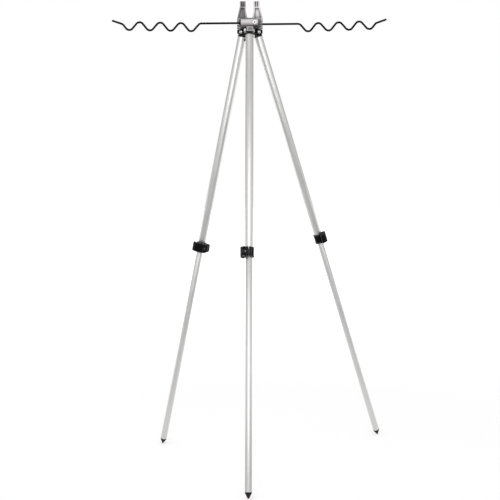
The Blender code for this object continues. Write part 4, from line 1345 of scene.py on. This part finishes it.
@dataclass(frozen=True)
class Softbox:
    """A large soft lamp that points at a place."""

    name: str
    place: Place
    aim: Place
    size: Pair
    radiance: float

    def build(self) -> None:
        """Hang the lamp."""
        lamp = bpy.data.lights.new(self.name, "AREA")
        lamp.shape = "RECTANGLE"
        lamp.size, lamp.size_y = self.size
        lamp.energy = self.radiance * math.pi * self.size[0] * self.size[1]
        box = bpy.data.objects.new(self.name, lamp)
        bpy.context.scene.collection.objects.link(box)
        box.matrix_world = axes_on(Vector(self.place), Vector(self.place) - Vector(self.aim))
        box.visible_camera = False
        log.info("%s hung", self.name)


@dataclass(frozen=True)
class Viewpoint:
    """The camera at the photograph's viewing angle, its place measured from the hub's axis on the floor."""

    place: Place = (-0.0044, -2.2385, 0.6585)
    pitch: float = 4.991
    roll: float = 0.53
    yaw: float = -0.004
    focal_px: float = 1024.6

    def build(self, hub: Vector) -> None:
        """Make the camera and let the scene use it.

        Args:
            hub: where the hub's axis meets the floor.
        """
        lens = bpy.data.cameras.new("viewpoint")
        lens.sensor_fit, lens.sensor_width = "HORIZONTAL", SENSOR_MM
        lens.lens = self.focal_px / PHOTO_WIDTH_PX * SENSOR_MM
        camera = bpy.data.objects.new("viewpoint", lens)
        turn = Matrix.Identity(4)
        for angle, axis in ((self.yaw, "Z"), (90 - self.pitch, "X"), (-self.roll, "Z")):
            turn @= Matrix.Rotation(math.radians(angle), 4, axis)
        camera.matrix_world = Matrix.Translation(hub + Vector(self.place)) @ turn
        bpy.context.scene.collection.objects.link(camera)
        bpy.context.scene.camera = camera


@dataclass
class Studio:
    """A pale floor, a white backdrop and soft lamps.

    The world's edges are given by the parts of a direction, the floor's by places from its middle.
    """

    floor_reach: float = 12.0
    floor_cells: int = 24
    floor_colour: Colour = (0.72, 0.72, 0.72)
    floor_roughness: float = 0.9
    floor_lift: float = 0.52
    floor_fade: Pair = (0.6, 3.0)
    floor_behind: Pair = (-0.4, 0.6)
    ambient: float = 0.42
    room: float = 0.53
    backdrop: Pair = (0.93, 0.995)
    front_glow: float = 1.1
    front_wall: tuple[tuple[str, Pair], ...] = (
        ("Y", (0.35, -0.95)),
        ("Z", (0.62, 0.46)),
        ("Z", (-0.26, -0.14)),
    )
    lamps: tuple[Softbox, ...] = (
        Softbox("front_softbox", (-0.15, -3.1, 1.35), (-0.15, 0.0, 1.25), (2.6, 1.9), 1.12),
        Softbox("top_softbox", (-0.3, 0.1, 2.7), (0.0, 0.0, 0.0), (1.7, 1.7), 1.3),
    )

    def build(self) -> None:
        """Set the world, the floor, the lamps and the plain colour transform."""
        bpy.context.scene.view_settings.view_transform = "Standard"
        self.add_world()
        self.add_floor()
        for lamp in self.lamps:
            lamp.build()

    def add_world(self) -> None:
        """White for the camera and, towards the backdrop, for reflections; dimmer round the room."""
        world = bpy.data.worlds.new("studio")
        bpy.context.scene.world = world
        tree = Tree(world)
        way = tree.add("TexCoord").outputs["Generated"]
        camera, mirrored = tree.rays()
        behind = tree.span(tree.part(way, "Y"), self.room, 1.0, self.backdrop, smooth=True)
        glow = tree.mixed(mirrored, self.ambient, behind)
        edges = [tree.span(tree.part(way, axis), 0.0, 1.0, edge) for axis, edge in self.front_wall]
        glow = tree.mixed(tree.combined("MULTIPLY", *edges), glow, self.front_glow)
        sky = tree.nodes["Background"].inputs
        tree.fill(sky["Color"], WHITE)
        tree.fill(sky["Strength"], tree.mixed(camera, glow, 1.0))

    def add_floor(self) -> None:
        """A plain pale floor that shows the object's shadow and runs out into white."""
        bm = bmesh.new()
        cells = {"x_segments": self.floor_cells, "y_segments": self.floor_cells}
        bmesh.ops.create_grid(bm, size=self.floor_reach, **cells)
        floor = made("floor", bm)
        recipe = Recipe("floor")
        distance = recipe.add("VectorMath")
        distance.operation = "LENGTH"
        recipe.fill(distance.inputs[0], recipe.place)
        lift = recipe.span(distance.outputs["Value"], self.floor_lift, 1.0, self.floor_fade, smooth=True)
        camera, mirrored = recipe.rays()
        mirrored = recipe.combined("MULTIPLY", mirrored, recipe.across("Y", *self.floor_behind))
        seen = recipe.combined("MAXIMUM", camera, mirrored)
        recipe.feed(
            Base_Color=self.floor_colour,
            Roughness=self.floor_roughness,
            Specular_IOR_Level=0.0,
            Emission_Color=WHITE,
            Emission_Strength=recipe.combined("MULTIPLY", seen, lift),
        )
        floor.data.materials.append(recipe.material)


def main() -> None:
    """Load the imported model, build the looks round it and set the studio and the camera."""
    logging.basicConfig(level=logging.INFO, format="%(message)s")
    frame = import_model()
    joints = {joint["name"]: joint for joint in frame["joints"]}
    shop = Workshop(frame["nodes"], joints, Wardrobe())
    low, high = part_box("hub_screw")
    hub = Vector(((low.x + high.x) / 2, (low.y + high.y) / 2, 0.0))
    Head(shop).build()
    Arm(shop, Side.LEFT, Matrix.Identity(4)).build()
    Arm(shop, Side.RIGHT, HALF_TURN).build()
    for side in Side:
        Leg(shop, side).build()
    Studio().build()
    Viewpoint().build(hub)


if __name__ == "__main__":
    main()
